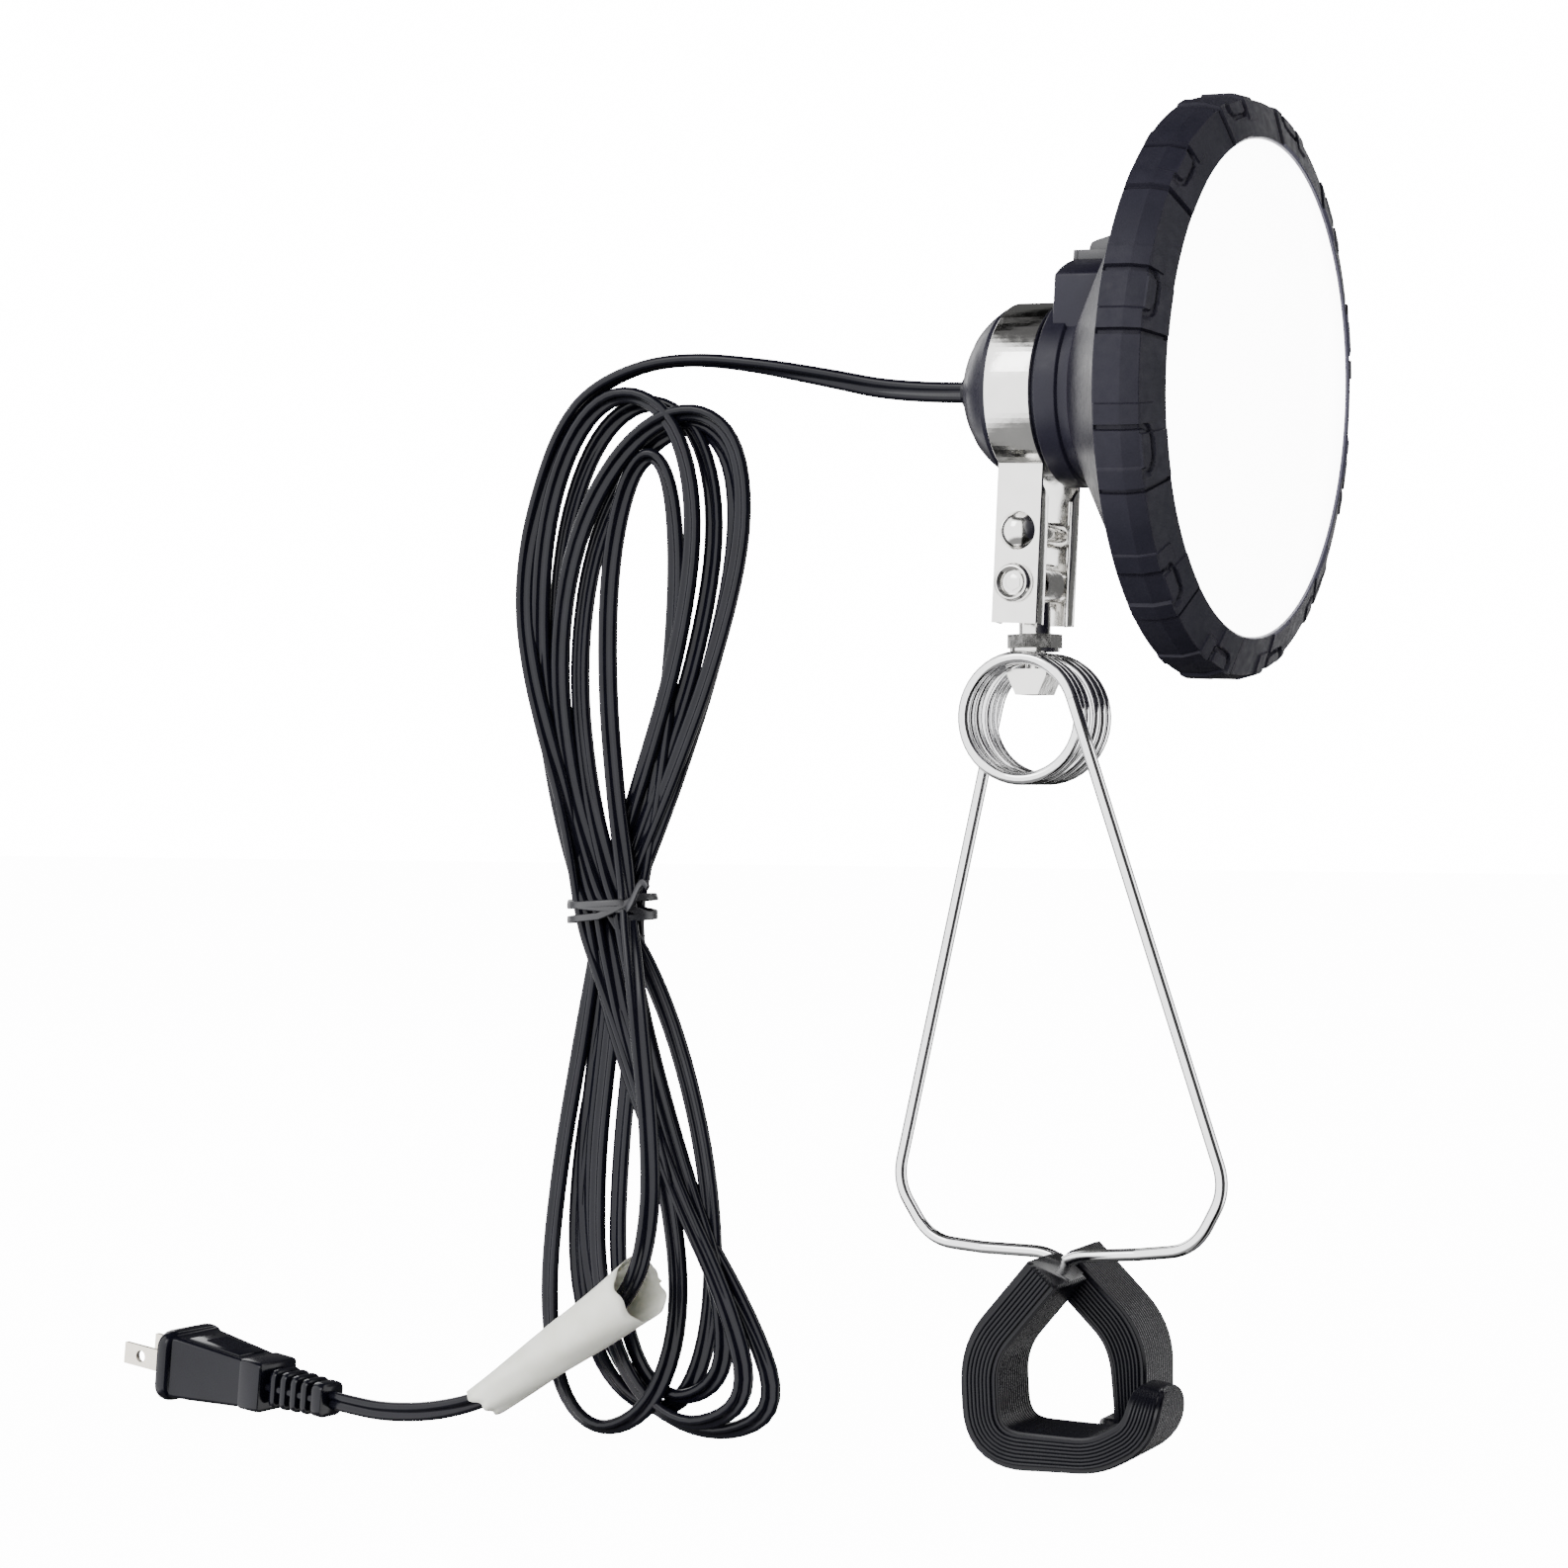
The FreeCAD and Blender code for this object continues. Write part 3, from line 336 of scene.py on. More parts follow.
def prism(outline, low, high, place, bevel=0.3, segments=2):
    """A closed outline (u, v) swept from low to high and bevelled; place maps (u, v, depth)."""
    shape = bmesh.new()
    bottom = [shape.verts.new(place(u, v, low)) for u, v in outline]
    face = shape.faces.new(bottom)
    made = bmesh.ops.extrude_face_region(shape, geom=[face])
    shift = place(*outline[0], high) - place(*outline[0], low)
    bmesh.ops.translate(shape, vec=shift,
                        verts=[g for g in made["geom"] if isinstance(g, bmesh.types.BMVert)])
    bmesh.ops.recalc_face_normals(shape, faces=shape.faces)
    if bevel:
        edges = [e for e in shape.edges if len(e.link_faces) == 2
                 and e.calc_face_angle() > math.radians(30)]
        bmesh.ops.bevel(shape, geom=edges, offset=bevel * MM, segments=segments, profile=0.5,
                        affect="EDGES", clamp_overlap=True)
    return shape


def as_piece(name, shapes, slot, body, stands_for=(), sharp=35):
    """One piece made of several bmesh shapes."""
    data = bpy.data.meshes.new(name)
    total = bmesh.new()
    for shape in shapes:
        part = bpy.data.meshes.new(name + "_part")
        shape.to_mesh(part)
        shape.free()
        total.from_mesh(part)
        bpy.data.meshes.remove(part)
    total.to_mesh(data)
    total.free()
    return finished(name, data, slot, body, stands_for, sharp)


def shape_of(verts, faces, turned_out=True):
    """A bmesh of these verts and faces, with its faces turned outwards."""
    shape = bmesh.new()
    made = [shape.verts.new(v) for v in verts]
    for face in faces:
        shape.faces.new([made[i] for i in face])
    if turned_out:
        bmesh.ops.recalc_face_normals(shape, faces=shape.faces)
    return shape


def directions(path):
    """Unit tangents of a path of points."""
    points = np.array([tuple(p) for p in path])
    steps = np.gradient(points, axis=0)
    return steps / np.linalg.norm(steps, axis=1)[:, None]


def sweep(path, section, across, caps=True):
    """Verts and faces of a section (u, v) carried along a path; across gives u's direction."""
    points = np.array([tuple(p) for p in path])
    tangents = directions(path)
    verts, faces = [], []
    size = len(section(0)) if callable(section) else len(section)
    for i, point in enumerate(points):
        wide = np.array(tuple(across(i) if callable(across) else across))
        wide = wide - tangents[i] * (wide @ tangents[i])
        wide = wide / np.linalg.norm(wide)
        thick = np.cross(tangents[i], wide)
        for u, v in (section(i) if callable(section) else section):
            verts.append(Vector(point + wide * u + thick * v))
    for i in range(len(points) - 1):
        for j in range(size):
            k = (j + 1) % size
            faces.append((i * size + j, i * size + k, (i + 1) * size + k, (i + 1) * size + j))
    if caps:
        faces.append(tuple(range(size - 1, -1, -1)))
        faces.append(tuple((len(points) - 1) * size + j for j in range(size)))
    return verts, faces


def circle(radius, count=20):
    return [(radius * math.cos(2 * math.pi * i / count), radius * math.sin(2 * math.pi * i / count))
            for i in range(count)]


def carried(path, first):
    """A direction carried along a path without twisting: one vector per point."""
    tangents = directions(path)
    side = np.array(tuple(first), float)
    out = []
    for tangent in tangents:
        side = side - tangent * (side @ tangent)
        side = side / np.linalg.norm(side)
        out.append(side.copy())
    return out


def spline_points(points, resolution):
    """Points of the smooth NURBS line with these control points, in the row frame."""
    data = bpy.data.curves.new("route", "CURVE")
    data.dimensions = "3D"
    data.resolution_u = resolution
    spline = data.splines.new("NURBS")
    spline.points.add(len(points) - 1)
    for spot, point in zip(spline.points, points):
        spot.co = (*point, 1)
    spline.order_u = 3
    spline.use_endpoint_u = True
    carrier = bpy.data.objects.new("route", data)
    bpy.context.scene.collection.objects.link(carrier)
    bpy.context.view_layer.update()
    line = bpy.data.meshes.new_from_object(carrier)
    path = [v.co.copy() for v in line.vertices]
    bpy.data.objects.remove(carrier)
    bpy.data.meshes.remove(line)
    return path


# ---------------------------------------------------------------- camera
CAMERA_TURN = math.radians(26)                       # round the lamp from straight in front
CAMERA_AT = Vector((0.3238, -0.8337, 0.1570))
camera_data = bpy.data.cameras.new("camera")
camera_data.lens = 77.2
camera_data.sensor_width = 36
camera_data.clip_end = 50
camera = bpy.data.objects.new("camera", camera_data)
bpy.context.scene.collection.objects.link(camera)
camera.location = CAMERA_AT
camera.rotation_euler = (math.pi / 2, 0, CAMERA_TURN)
bpy.context.scene.camera = camera

# ---------------------------------------------------------------- cord
CORD_WIDE, CORD_THICK = 5.6, 2.8
# the lead, from the rear cap to the top of the hank: x, y, z and the flat side's turn in degrees,
# 0 with the flat side facing along the bend and 90 with it upright
LEAD = [(-28.6, 1.1, 262.3, 88), (-48.6, 2.2, 263.4, 80), (-70.5, 0.8, 268.6, 55), (-93, -2, 273.3, 25),
        (-111.5, -2.5, 275.6, 10), (-127.5, -2.5, 274.2, 5), (-143, -2.5, 267.8, 14),
        (-151.5, -3, 257, 35), (-157.4, -3.5, 242, 55), (-162.2, -4, 224, 70), (-163.2, -4.5, 206, 75),
        (-160.2, -5, 188, 75), (-155.4, -5, 171, 70), (-149.6, -5, 153, 45), (-146.5, -4.5, 136, 20)]
# the tail, from the tie down in front of the hank, through the label and along the table
TAIL = [(-129.5, -4.5, 121, 25), (-124, -11, 106, 50), (-119, -16, 85, 70), (-115, -18.5, 61, 75),
        (-114, -19.5, 39, 65), (-118.5, -19.8, 19, 40), (-130.5, -19.8, 6.8, 25),
        (-147.5, -19.6, -5.2, 30), (-165, -19.3, -15.6, 50), (-183.5, -18.3, -21.3, 75),
        (-201.5, -16.8, -23.2, 80), (-213.5, -15.3, -22.6, 80), (-221.9, -14.12, -21.75, 80)]
TIE_X, TIE_Z = -137.2, 121.0
# upper lobes of the hank: left, right, x at the top, top height, depth behind the front, and how
# low each side is narrow
UPPER = [(-158.4, -109.5, -131.0, 268.8, -3.4, 0.8, 1.5), (-154.5, -105.0, -127.0, 266.8, 2.8, 0.8, 1.5),
         (-150.0, -95.6, -111.0, 263.0, -2.4, 1.0, 1.2), (-146.0, -99.6, -114.0, 259.5, 3.4, 1.0, 1.2),
         (-138.0, -117.0, -125.0, 251.5, 0.5, 1.2, 1.2)]
# lower lobes: right, left, x at the bottom, bottom height, depth, and the same for right and left
LOWER = [(-112.0, -157.4, -138.5, -26.9, -3.4, 2.0, 1.4), (-91.4, -147.5, -107.0, -26.6, 2.8, 6.0, 2.0),
         (-95.5, -142.5, -111.0, -23.5, -2.4, 6.0, 2.0), (-103.6, -151.5, -124.0, -21.5, 3.4, 0.4, 1.6),
         (-100.5, -137.0, -116.0, -17.0, 0.5, 5.0, 2.0)]
LOBE_STEPS = 12
WIDEST = 0.7                                         # share of a lobe's height to its middle
TIE_PITCH = 3.1                                      # strand to strand where they are tied
TIED_TURN = 12                                       # the flat side's turn there, as in LEAD


def lobe(start_x, end_x, sides, apex, height, depth, narrow, turn):
    """Control points of one lobe from the tie, round its far end and back to the tie."""
    middle = (sides[0] + sides[1]) / 2
    half = (sides[0] - sides[1]) / 2
    points = []
    for i in range(1, LOBE_STEPS):
        angle = 2 * math.pi * i / LOBE_STEPS
        rise = (1 - math.cos(angle)) / 2
        power = narrow[0] if i < LOBE_STEPS / 2 else narrow[1]
        # where this side is widest, and how wide, so that the swing is 1 there
        widest = (power + 1) / (power + 2)
        most = 2 * widest ** ((power + 1) / 2) * math.sqrt(1 - widest)
        tie_x = start_x + (end_x - start_x) * i / LOBE_STEPS
        curve = (apex - tie_x - (middle - tie_x) / WIDEST) / (1 - WIDEST)
        slope = (middle - tie_x) / WIDEST - curve * WIDEST
        spine = tie_x + slope * rise + curve * rise * rise
        swing = math.sin(angle) * math.sin(angle / 2) ** power / most
        edge_on = TIED_TURN + 23 * rise
        flat = edge_on + (turn - edge_on) * min(1, 1.25 * abs(math.sin(angle)))
        points.append((spine + half * swing, depth[0] + (depth[1] - depth[0]) * i / LOBE_STEPS
                       + depth[2] * rise, TIE_Z + (height - TIE_Z) * rise, flat))
    return points


def hank_route():
    """The tied turns: down through the tie in front, round the bottom, up behind, over the top."""
    route = []
    for i, (upper, lower) in enumerate(zip(UPPER, LOWER)):
        down_x = TIE_X + TIE_PITCH * (i - 2.5)
        up_x = TIE_X + TIE_PITCH * (i - 1.7)
        next_x = TIE_X + TIE_PITCH * (i - 1.5)
        turn = 84 if i % 2 else 76
        route.append((down_x, -3.2, TIE_Z, TIED_TURN))
        route += lobe(down_x, up_x, lower[:2], lower[2], lower[3], (-3.4, 3.4, lower[4]), lower[5:],
                      turn)
        route.append((up_x, 3.4, TIE_Z, TIED_TURN))
        route += lobe(up_x, next_x, (upper[1], upper[0]), upper[2], upper[3],
                      (3.4, -3.2, upper[4]), (upper[6], upper[5]), turn)
    return route


def flat_twin(count=12):
    """The section of a flat twin cord: two round cores joined by a narrow web."""
    core = CORD_THICK / 2 * MM
    offset = (CORD_WIDE - CORD_THICK) / 2 * MM
    right = arc((offset, 0), core, -140, 140, count)
    left = arc((-offset, 0), core, 40, 320, count)
    return right + left


def cord():
    route = LEAD + hank_route() + TAIL
    path = spline_points([Vector(p[:3]) * MM for p in route], 6)
    controls = np.array([0.0] + [i - 0.5 for i in range(1, len(route) - 1)] + [len(route) - 2])
    along = np.linspace(0, len(route) - 2, len(path))
    turns = np.interp(along, controls, [p[3] for p in route])
    tangents = directions(path)
    depth = np.array((0.0, 1.0, 0.0))

    def across(i):
        flat = depth - tangents[i] * (depth @ tangents[i])
        flat = flat / np.linalg.norm(flat)
        other = np.cross(tangents[i], flat)
        turn = math.radians(turns[i])
        return flat * math.cos(turn) + other * math.sin(turn)

    verts, faces = sweep(path, flat_twin(), across)
    exit_at = path[0]
    made = piece("lamp_cord", verts, faces, "cord_vinyl", None,
                 ("cord_lead", "cord_hank", "cord_tail"), sharp=50,
                 blend=("head", "swivel", exit_at, Vector((-0.088, 0, exit_at.z))))
    return made, path


lamp_cord, cord_path = cord()


# ---------------------------------------------------------------- bumper ring
RING_REAR, RING_EDGE, RING_BEND, RING_LIP = 47.2, 54.6, 59.0, 62.1
RING_INNER, RING_OUTER, RING_SHOULDER, RING_MOUTH = 70.2, 74.6, 73.3, 63.9
PERIOD = 30.0                       # degrees from one hooked groove to the next
HOOK_FROM = 17.8                    # a hooked groove, above the level of the axis
HOOK_SPAN, HOOK_REACH = 8.7, 4.0    # the hook: degrees round, millimetres over the front face
HOOK_SQUARE = 3.4                   # 2 for an ellipse, more for squarer corners
CROSS_AT = 12.2                     # the straight groove, below the hooked one
BAND_SPAN = 3.9                     # raised band over each groove
GROOVE = 0.9                        # groove width in degrees
BAND_RISE, FACE_RISE, GROOVE_DEPTH = 0.62, 0.45, 0.85


def ramp(value, start, end):
    """A smooth step from 0 at start to 1 at end."""
    t = min(max((value - start) / (end - start), 0.0), 1.0)
    return t * t * (3 - 2 * t)


def pulse(value, start, end, edge):
    return ramp(value, start - edge, start) * (1 - ramp(value, end, end + edge))


def ring_relief(zone, reach, angle):
    """Height over the plain ring: zone 1 the flat side, 2 the chamfer, 3 the front face."""
    if zone == 0:
        return 0.0
    above = angle - PERIOD
    bands = pulse(above, -BAND_SPAN, -0.05, 0.12) + pulse(angle, CROSS_AT - BAND_SPAN, CROSS_AT, 0.12)
    cross = pulse(angle, CROSS_AT + 0.1, CROSS_AT + GROOVE, 0.14)
    if zone < 3:
        hook = pulse(angle, 0.1, GROOVE, 0.14) + pulse(above, 0.1, GROOVE, 0.14)
        return bands * BAND_RISE - (hook + cross) * GROOVE_DEPTH
    middle = HOOK_SPAN / 2 + 0.4
    around, out = abs(angle - middle) / (HOOK_SPAN / 2), reach / HOOK_REACH
    squared = around ** HOOK_SQUARE + out ** HOOK_SQUARE
    off = abs(squared ** (1 / HOOK_SQUARE) - 1) * HOOK_REACH
    hook = 1 - ramp(off, 0.42, 0.68)
    face = pulse(angle, 1.8, CROSS_AT, 0.12)
    face = max(face, pulse(above, -BAND_SPAN, 0.3, 0.12) * (1 - ramp(reach, 5.0, 5.4)))
    return face * FACE_RISE - max(hook, cross) * GROOVE_DEPTH


def bumper_ring():
    corners = [(RING_REAR, RING_INNER, 0), (RING_REAR, RING_OUTER - 0.7, 0),
               (RING_REAR + 0.25, RING_OUTER - 0.2, 0), (RING_REAR + 0.7, RING_OUTER, 1),
               (RING_REAR + 1.0, RING_OUTER, 1), (RING_EDGE - 0.1, RING_OUTER, 1),
               (RING_EDGE + 0.1, RING_OUTER - 0.04, 2), (RING_BEND - 0.1, RING_SHOULDER + 0.03, 2)]
    rows = [(x, r, zone, 0.0) for x, r, zone in corners]
    face = math.hypot(RING_LIP - RING_BEND, RING_SHOULDER - RING_MOUTH)
    steps = [0.15 + 0.34 * i for i in range(15)] + [5.4, 6.6, 8.0, 9.2, face - 0.25]
    for reach in steps:
        t = reach / face
        rows.append((RING_BEND + (RING_LIP - RING_BEND) * t,
                     RING_SHOULDER + (RING_MOUTH - RING_SHOULDER) * t, 3, reach))
    rows += [(RING_LIP, RING_MOUTH, 0, 0), (RING_LIP - 0.3, RING_MOUTH - 0.25, 0, 0),
             (55.4, RING_MOUTH - 0.25, 0, 0), (55.4, RING_INNER, 0, 0)]
    normals = []
    for x, r, zone, _ in rows:
        along = {1: (0, 1), 2: (0.29, 0.957)}.get(zone, (0.95, 0.31))
        normals.append(along if zone else (0, 0))
    angles = []
    for start, end, count in ((0, 0.3, 3), (0.3, 9.6, 34), (9.6, 12.1, 3), (12.1, 13.4, 8),
                              (13.4, 25.9, 8), (25.9, 26.4, 4), (26.4, 29.8, 3), (29.8, 30, 2)):
        angles += [start + (end - start) * i / count for i in range(count)]
    verts, faces = [], []
    for turn in range(12):
        for angle in angles:
            above = math.radians(HOOK_FROM - angle - turn * PERIOD)
            for (x, r, zone, reach), (nx, nr) in zip(rows, normals):
                rise = ring_relief(zone, reach, angle)
                radius = r + nr * rise
                verts.append(lamp(x + nx * rise, -radius * math.cos(above),
                                  radius * math.sin(above)))
    count, columns = len(rows), 12 * len(angles)
    for i in range(columns):
        here, there = i * count, (i + 1) % columns * count
        for j in range(count):
            k = (j + 1) % count
            faces.append((here + j, here + k, there + k, there + j))
    piece("bumper_ring_moulded", verts, faces, "bumper_rubber", "head", ("bumper_ring",), sharp=11)


# ---------------------------------------------------------------- lens, housing and cap
def lens():
    edge, apex, rise, skin = 63.4, 71.5, 10.3, 2.2
    ball = (edge ** 2 + rise ** 2) / 2 / rise
    outside = [(apex - ball + math.sqrt(ball ** 2 - r ** 2), r)
               for r in (edge * i / 28 for i in range(29))]
    inner_edge = 61.0
    inside = [(x - skin, r) for x, r in outside if r < inner_edge]
    profile = outside + [(55.2, edge), (55.2, 69.6), (53.0, 69.6), (53.0, inner_edge)]
    profile += inside[::-1]
    verts, faces = lathe(profile, lamp, 180)
    piece("lens_dome", verts, faces, "lens", "head", ("diffuser_lens",), sharp=30)


NECK, COLLAR, RIM = 22.2, 25.4, 69.9


def housing():
    """The dished housing: neck, collar, cove, dish and rim, with the switch box on top."""
    cove = arc((15.2, 33.9), 9.3, -90, -14, 10)
    start, end = Vector((24.2, 31.6)), Vector((45.6, RIM))
    chord = end - start
    bow = Vector((chord.y, -chord.x)).normalized() * 3.3
    dish = []
    for i in range(19):
        t = i / 18
        spot = start + chord * t + bow * 4 * t * (1 - t)
        dish.append((spot.x, spot.y))
    outside = rounded_profile([(-7.4, 19.6), (-7.4, NECK), (8.6, NECK), (8.6, COLLAR),
                               (14.6, COLLAR), (15.2, COLLAR - 0.8)], 0.5)
    outside += cove[1:] + dish[1:] + [(51.2, RIM), (51.2, 66.4), (45.0, 66.4), (45.0, 62.0)]
    inside = [(41.5, 61.6), (20.5, 29.2), (15.0, 19.6), (-7.4, 19.6)]
    verts, faces = lathe(outside + inside, lamp, 180)
    shapes = [shape_of(verts, faces)]
    # the switch box: an arched block standing on the cove and the dish
    wide, rear, front, top, low = 20.0, 10.8, 24.5, 34.8, 14.2
    arch = [(-wide, low)]
    first = math.degrees(math.asin(wide / top))
    arch += [(top * math.sin(math.radians(-first + 2 * first * i / 16)),
              top * math.cos(math.radians(-first + 2 * first * i / 16))) for i in range(17)]
    arch.append((wide, low))
    shapes.append(prism(arch, rear, front, lambda u, v, depth: lamp(depth, u, v), 0.7, 3))
    as_piece("housing_shell", shapes, "housing_plastic", "head", ("rear_housing",), 32)


def rear_cap():
    """The domed cap behind the strap, with a faint step round it and a hole for the cord."""
    ball, foot, hole, rear, flatter = 24.6, 22.4, 4.3, -7.45, 0.93
    foot_depth = math.sqrt(ball ** 2 - foot ** 2)
    dome = []
    for i in range(25):
        radius = foot + (hole - foot) * i / 24
        rise = math.sqrt(ball ** 2 - radius ** 2) - foot_depth
        dome.append((rear - rise * flatter, radius))
    profile = [(-2.5, 19.5), (-2.5, 21.9), (-6.9, 21.9), (-6.9, 22.4), (-8.2, 22.35)]
    profile += [(x, r + 0.25) for x, r in dome[2:8]] + [(dome[8][0] + 0.1, dome[8][1] + 0.05)]
    profile += dome[9:] + [(dome[-1][0] + 2.6, 4.25), (-19.0, 8.0), (-9.0, 17.4), (-2.5, 17.4)]
    verts, faces = lathe(profile + [(-2.5, 19.5)], lamp, 160)
    piece("rear_cap_dome", verts, faces, "housing_plastic", "head", ("rear_cap",), sharp=28)


# ---------------------------------------------------------------- strap, ears and their screws
BAND_MIDDLE, BAND_SHEET, BAND_WIDE = 22.85, 1.1, 13.0
EAR_MIDDLE, EAR_FOOT, EAR_FLANGE = 11.75, 62.2, 5.0
SCREW_DROP, EAR_OUT = 37.6, 12.3


def rounded_box_section(wide, thick, radius, steps=3):
    """Points of a rounded rectangle, in millimetres."""
    points = []
    for cx, cy, start in ((1, 1, 0), (-1, 1, 90), (-1, -1, 180), (1, -1, 270)):
        centre = (cx * (wide / 2 - radius), cy * (thick / 2 - radius))
        points += arc(centre, radius, start, start + 90, steps)
    return points


def strap():
    """One plated sheet: an ear, round the neck, and the other ear, with the ears' folded edges."""
    corner = -math.sqrt(BAND_MIDDLE ** 2 - EAR_MIDDLE ** 2)
    first = math.degrees(math.atan2(corner, -EAR_MIDDLE)) % 360
    hoop = arc((0, 0), BAND_MIDDLE, first, 180 - first, 90)
    line = [(-EAR_MIDDLE, -EAR_FOOT + 0.3 + (EAR_FOOT + corner) * i / 12) for i in range(12)]
    path = rounded_profile(line + hoop + [(-y, z) for y, z in reversed(line)], 1.5, 5)
    section = [(u * MM, v * MM) for u, v in rounded_box_section(BAND_WIDE, BAND_SHEET, 0.3)]
    verts, faces = sweep([lamp(0, y, z) for y, z in path], section,
                         HEAD_TURN @ Vector((1, 0, 0)))
    shapes = [shape_of(verts, faces)]
    low, high = -EAR_FOOT, -26.0
    for side in (-1, 1):
        inner, outer = side * (EAR_OUT - EAR_FLANGE), side * (EAR_OUT - 0.1)
        for x in (-BAND_WIDE / 2, BAND_WIDE / 2 - BAND_SHEET):
            edge = [(outer, low + 0.5), (inner, low), (inner, high - 2.5), (outer, high + 1.5)]
            shapes.append(prism(edge, x, x + BAND_SHEET,
                                lambda u, v, depth: lamp(depth, u, v), 0.3, 2))
    as_piece("strap_sheet", shapes, "zinc", "head", ("neck_strap",), 32)


def turned_on_y(name, profile, x, z, outward, slot, stands_for, body="head", sharp=30, extra=()):
    """A fastener's head: profile (out, radius), turned about a line along Y at (x, z)."""
    verts, faces = lathe(profile, lambda along, a, b: lamp(x + a, outward * along, z + b), 64)
    shapes = [shape_of(verts, faces)] + list(extra)
    as_piece(name, shapes, slot, body, stands_for, sharp)


def dome_profile(base, radius, height, steps=10):
    ball = (radius ** 2 + height ** 2) / 2 / height
    return [(base + height - ball + math.sqrt(ball ** 2 - (radius * i / steps) ** 2),
             radius * i / steps) for i in range(steps + 1)]


def hexagon(flats, turn=30):
    across = flats / math.cos(math.radians(30)) / 2
    return [(across * math.cos(math.radians(turn + 60 * i)),
             across * math.sin(math.radians(turn + 60 * i))) for i in range(6)]


def fasteners():
    screw_head = dome_profile(EAR_OUT + 0.1, 5.1, 3.2) + [(EAR_OUT - 0.2, 5.1), (EAR_OUT - 0.2, 2.0),
                                                    (-EAR_OUT - 3.0, 2.0), (-EAR_OUT - 3.2, 0.0)]
    nut = prism(hexagon(7.4), EAR_OUT, EAR_OUT + 2.9,
                lambda u, v, depth: lamp(u, depth, v - SCREW_DROP), 0.4, 3)
    turned_on_y("strap_screw_dome", screw_head, 0, -SCREW_DROP, -1, "zinc", ("strap_screw",))
    as_piece("strap_nut_six", [nut], "zinc", "head", ("strap_nut",), 30)
    # tilt screw: a ring round a hollow with a six-sided key hole
    rim = [(EAR_OUT + 1.0, 0.0), (EAR_OUT + 1.0, 1.7), (EAR_OUT + 1.25, 2.0), (EAR_OUT + 1.35, 3.0)]
    rim += [(EAR_OUT + 2.2, 3.25)] + arc((EAR_OUT + 2.0, 4.1), 0.85, 0, 75, 6)
    rim += [(EAR_OUT + 1.9, 5.15), (EAR_OUT + 0.2, 5.2), (EAR_OUT - 0.2, 5.0),
            (EAR_OUT - 0.2, 2.5), (-EAR_OUT - 1.0, 2.5), (-EAR_OUT - 1.0, 0.0)]
    key = prism(hexagon(4.0), -EAR_OUT - 1.5, -EAR_OUT - 0.9,
                lambda u, v, depth: lamp(u, depth, v - LAMP_RISE), 0.15, 2)
    turned_on_y("tilt_screw_ring", rim, 0, -LAMP_RISE, -1, "zinc", ("tilt_screw",), extra=[key])
    cap = dome_profile(EAR_OUT, 4.3, 4.4) + [(EAR_OUT + 0.6, 4.9), (EAR_OUT, 4.9), (EAR_OUT, 2.5),
                                             (EAR_OUT + 2.0, 2.5), (EAR_OUT + 2.0, 0.0)]
    turned_on_y("tilt_nut_dome", cap, 0, -LAMP_RISE, 1, "zinc", ("tilt_nut",))


# ---------------------------------------------------------------- switch
def switch():
    """The switch plate with its window, and the rocker with its slanted rear side."""
    at, top = 17.0, 36.1
    frame_shapes = []
    for low_x, high_x, low_y, high_y in ((11.2, 12.5, -9.5, 9.5), (21.5, 22.0, -9.5, 9.5),
                                         (12.5, 21.5, -9.5, -6.0), (12.5, 21.5, 6.0, 9.5)):
        corners = [(low_x, low_y), (high_x, low_y), (high_x, high_y), (low_x, high_y)]
        frame_shapes.append(prism(corners, 33.4, top,
                                  lambda u, v, depth: lamp(u, v, depth), 0.25, 2))
    as_piece("switch_frame", frame_shapes, "switch_plastic", "head", ("switch_plate",), 30)
    side = [(at - 3.4, 32.2), (at + 3.4, 32.2), (at + 3.4, 40.0), (at + 2.6, 40.2), (at - 0.8, 39.3),
            (at - 2.6, 38.6), (at - 3.1, 37.4)]
    rocker = prism(side, -5.6, 5.6, lambda u, v, depth: lamp(u, depth, v), 0.5, 3)
    as_piece("rocker_cap", [rocker], "switch_plastic", "switch_rocker", ("switch_rocker",), 30)


# ---------------------------------------------------------------- spring
WIRE, COIL_RADIUS, COIL_PITCH, COIL_GAP, TURNS = 1.675, 16.05, 3.45, 8.6, 5
LEG_ANGLE, LEAN = 15.2, 2.8


def clamp(x, y, z):
    """A point of the leaning clamp, from the coil's middle, in the row frame."""
    turn = math.radians(LEAN)
    return COIL + Vector((x * math.cos(turn) - z * math.sin(turn), y,
                          x * math.sin(turn) + z * math.cos(turn))) * MM


def coil_point(angle):
    """The coil's centre line at a wound angle in degrees, counted from +X over the top."""
    stud_from = 90 + 360 * ((TURNS - 1) // 2)
    in_gap = min(max(angle - stud_from, 0), 360)
    along = ((angle - in_gap) * COIL_PITCH + in_gap * COIL_GAP) / 360
    middle = 90 + 180 * TURNS
    middle_along = ((middle - 180) * COIL_PITCH + 180 * COIL_GAP) / 360
    turn = math.radians(angle)
    return (COIL_RADIUS * math.cos(turn), along - middle_along, COIL_RADIUS * math.sin(turn))


JAW_LINE = {-1: [(4.3, -144.8), (-14.6, -165.0), (-14.6, -190.0), (16.5, -191.2), (28.6, -185.2),
                 (31.0, -173.5)],
            1: [(1.2, -145.2), (-17.1, -165.0), (-17.1, -190.6), (-5.6, -190.6)]}
JAW_WIDE, JAW_THICK, JAW_APART = 25.0, 10.6, 0.4


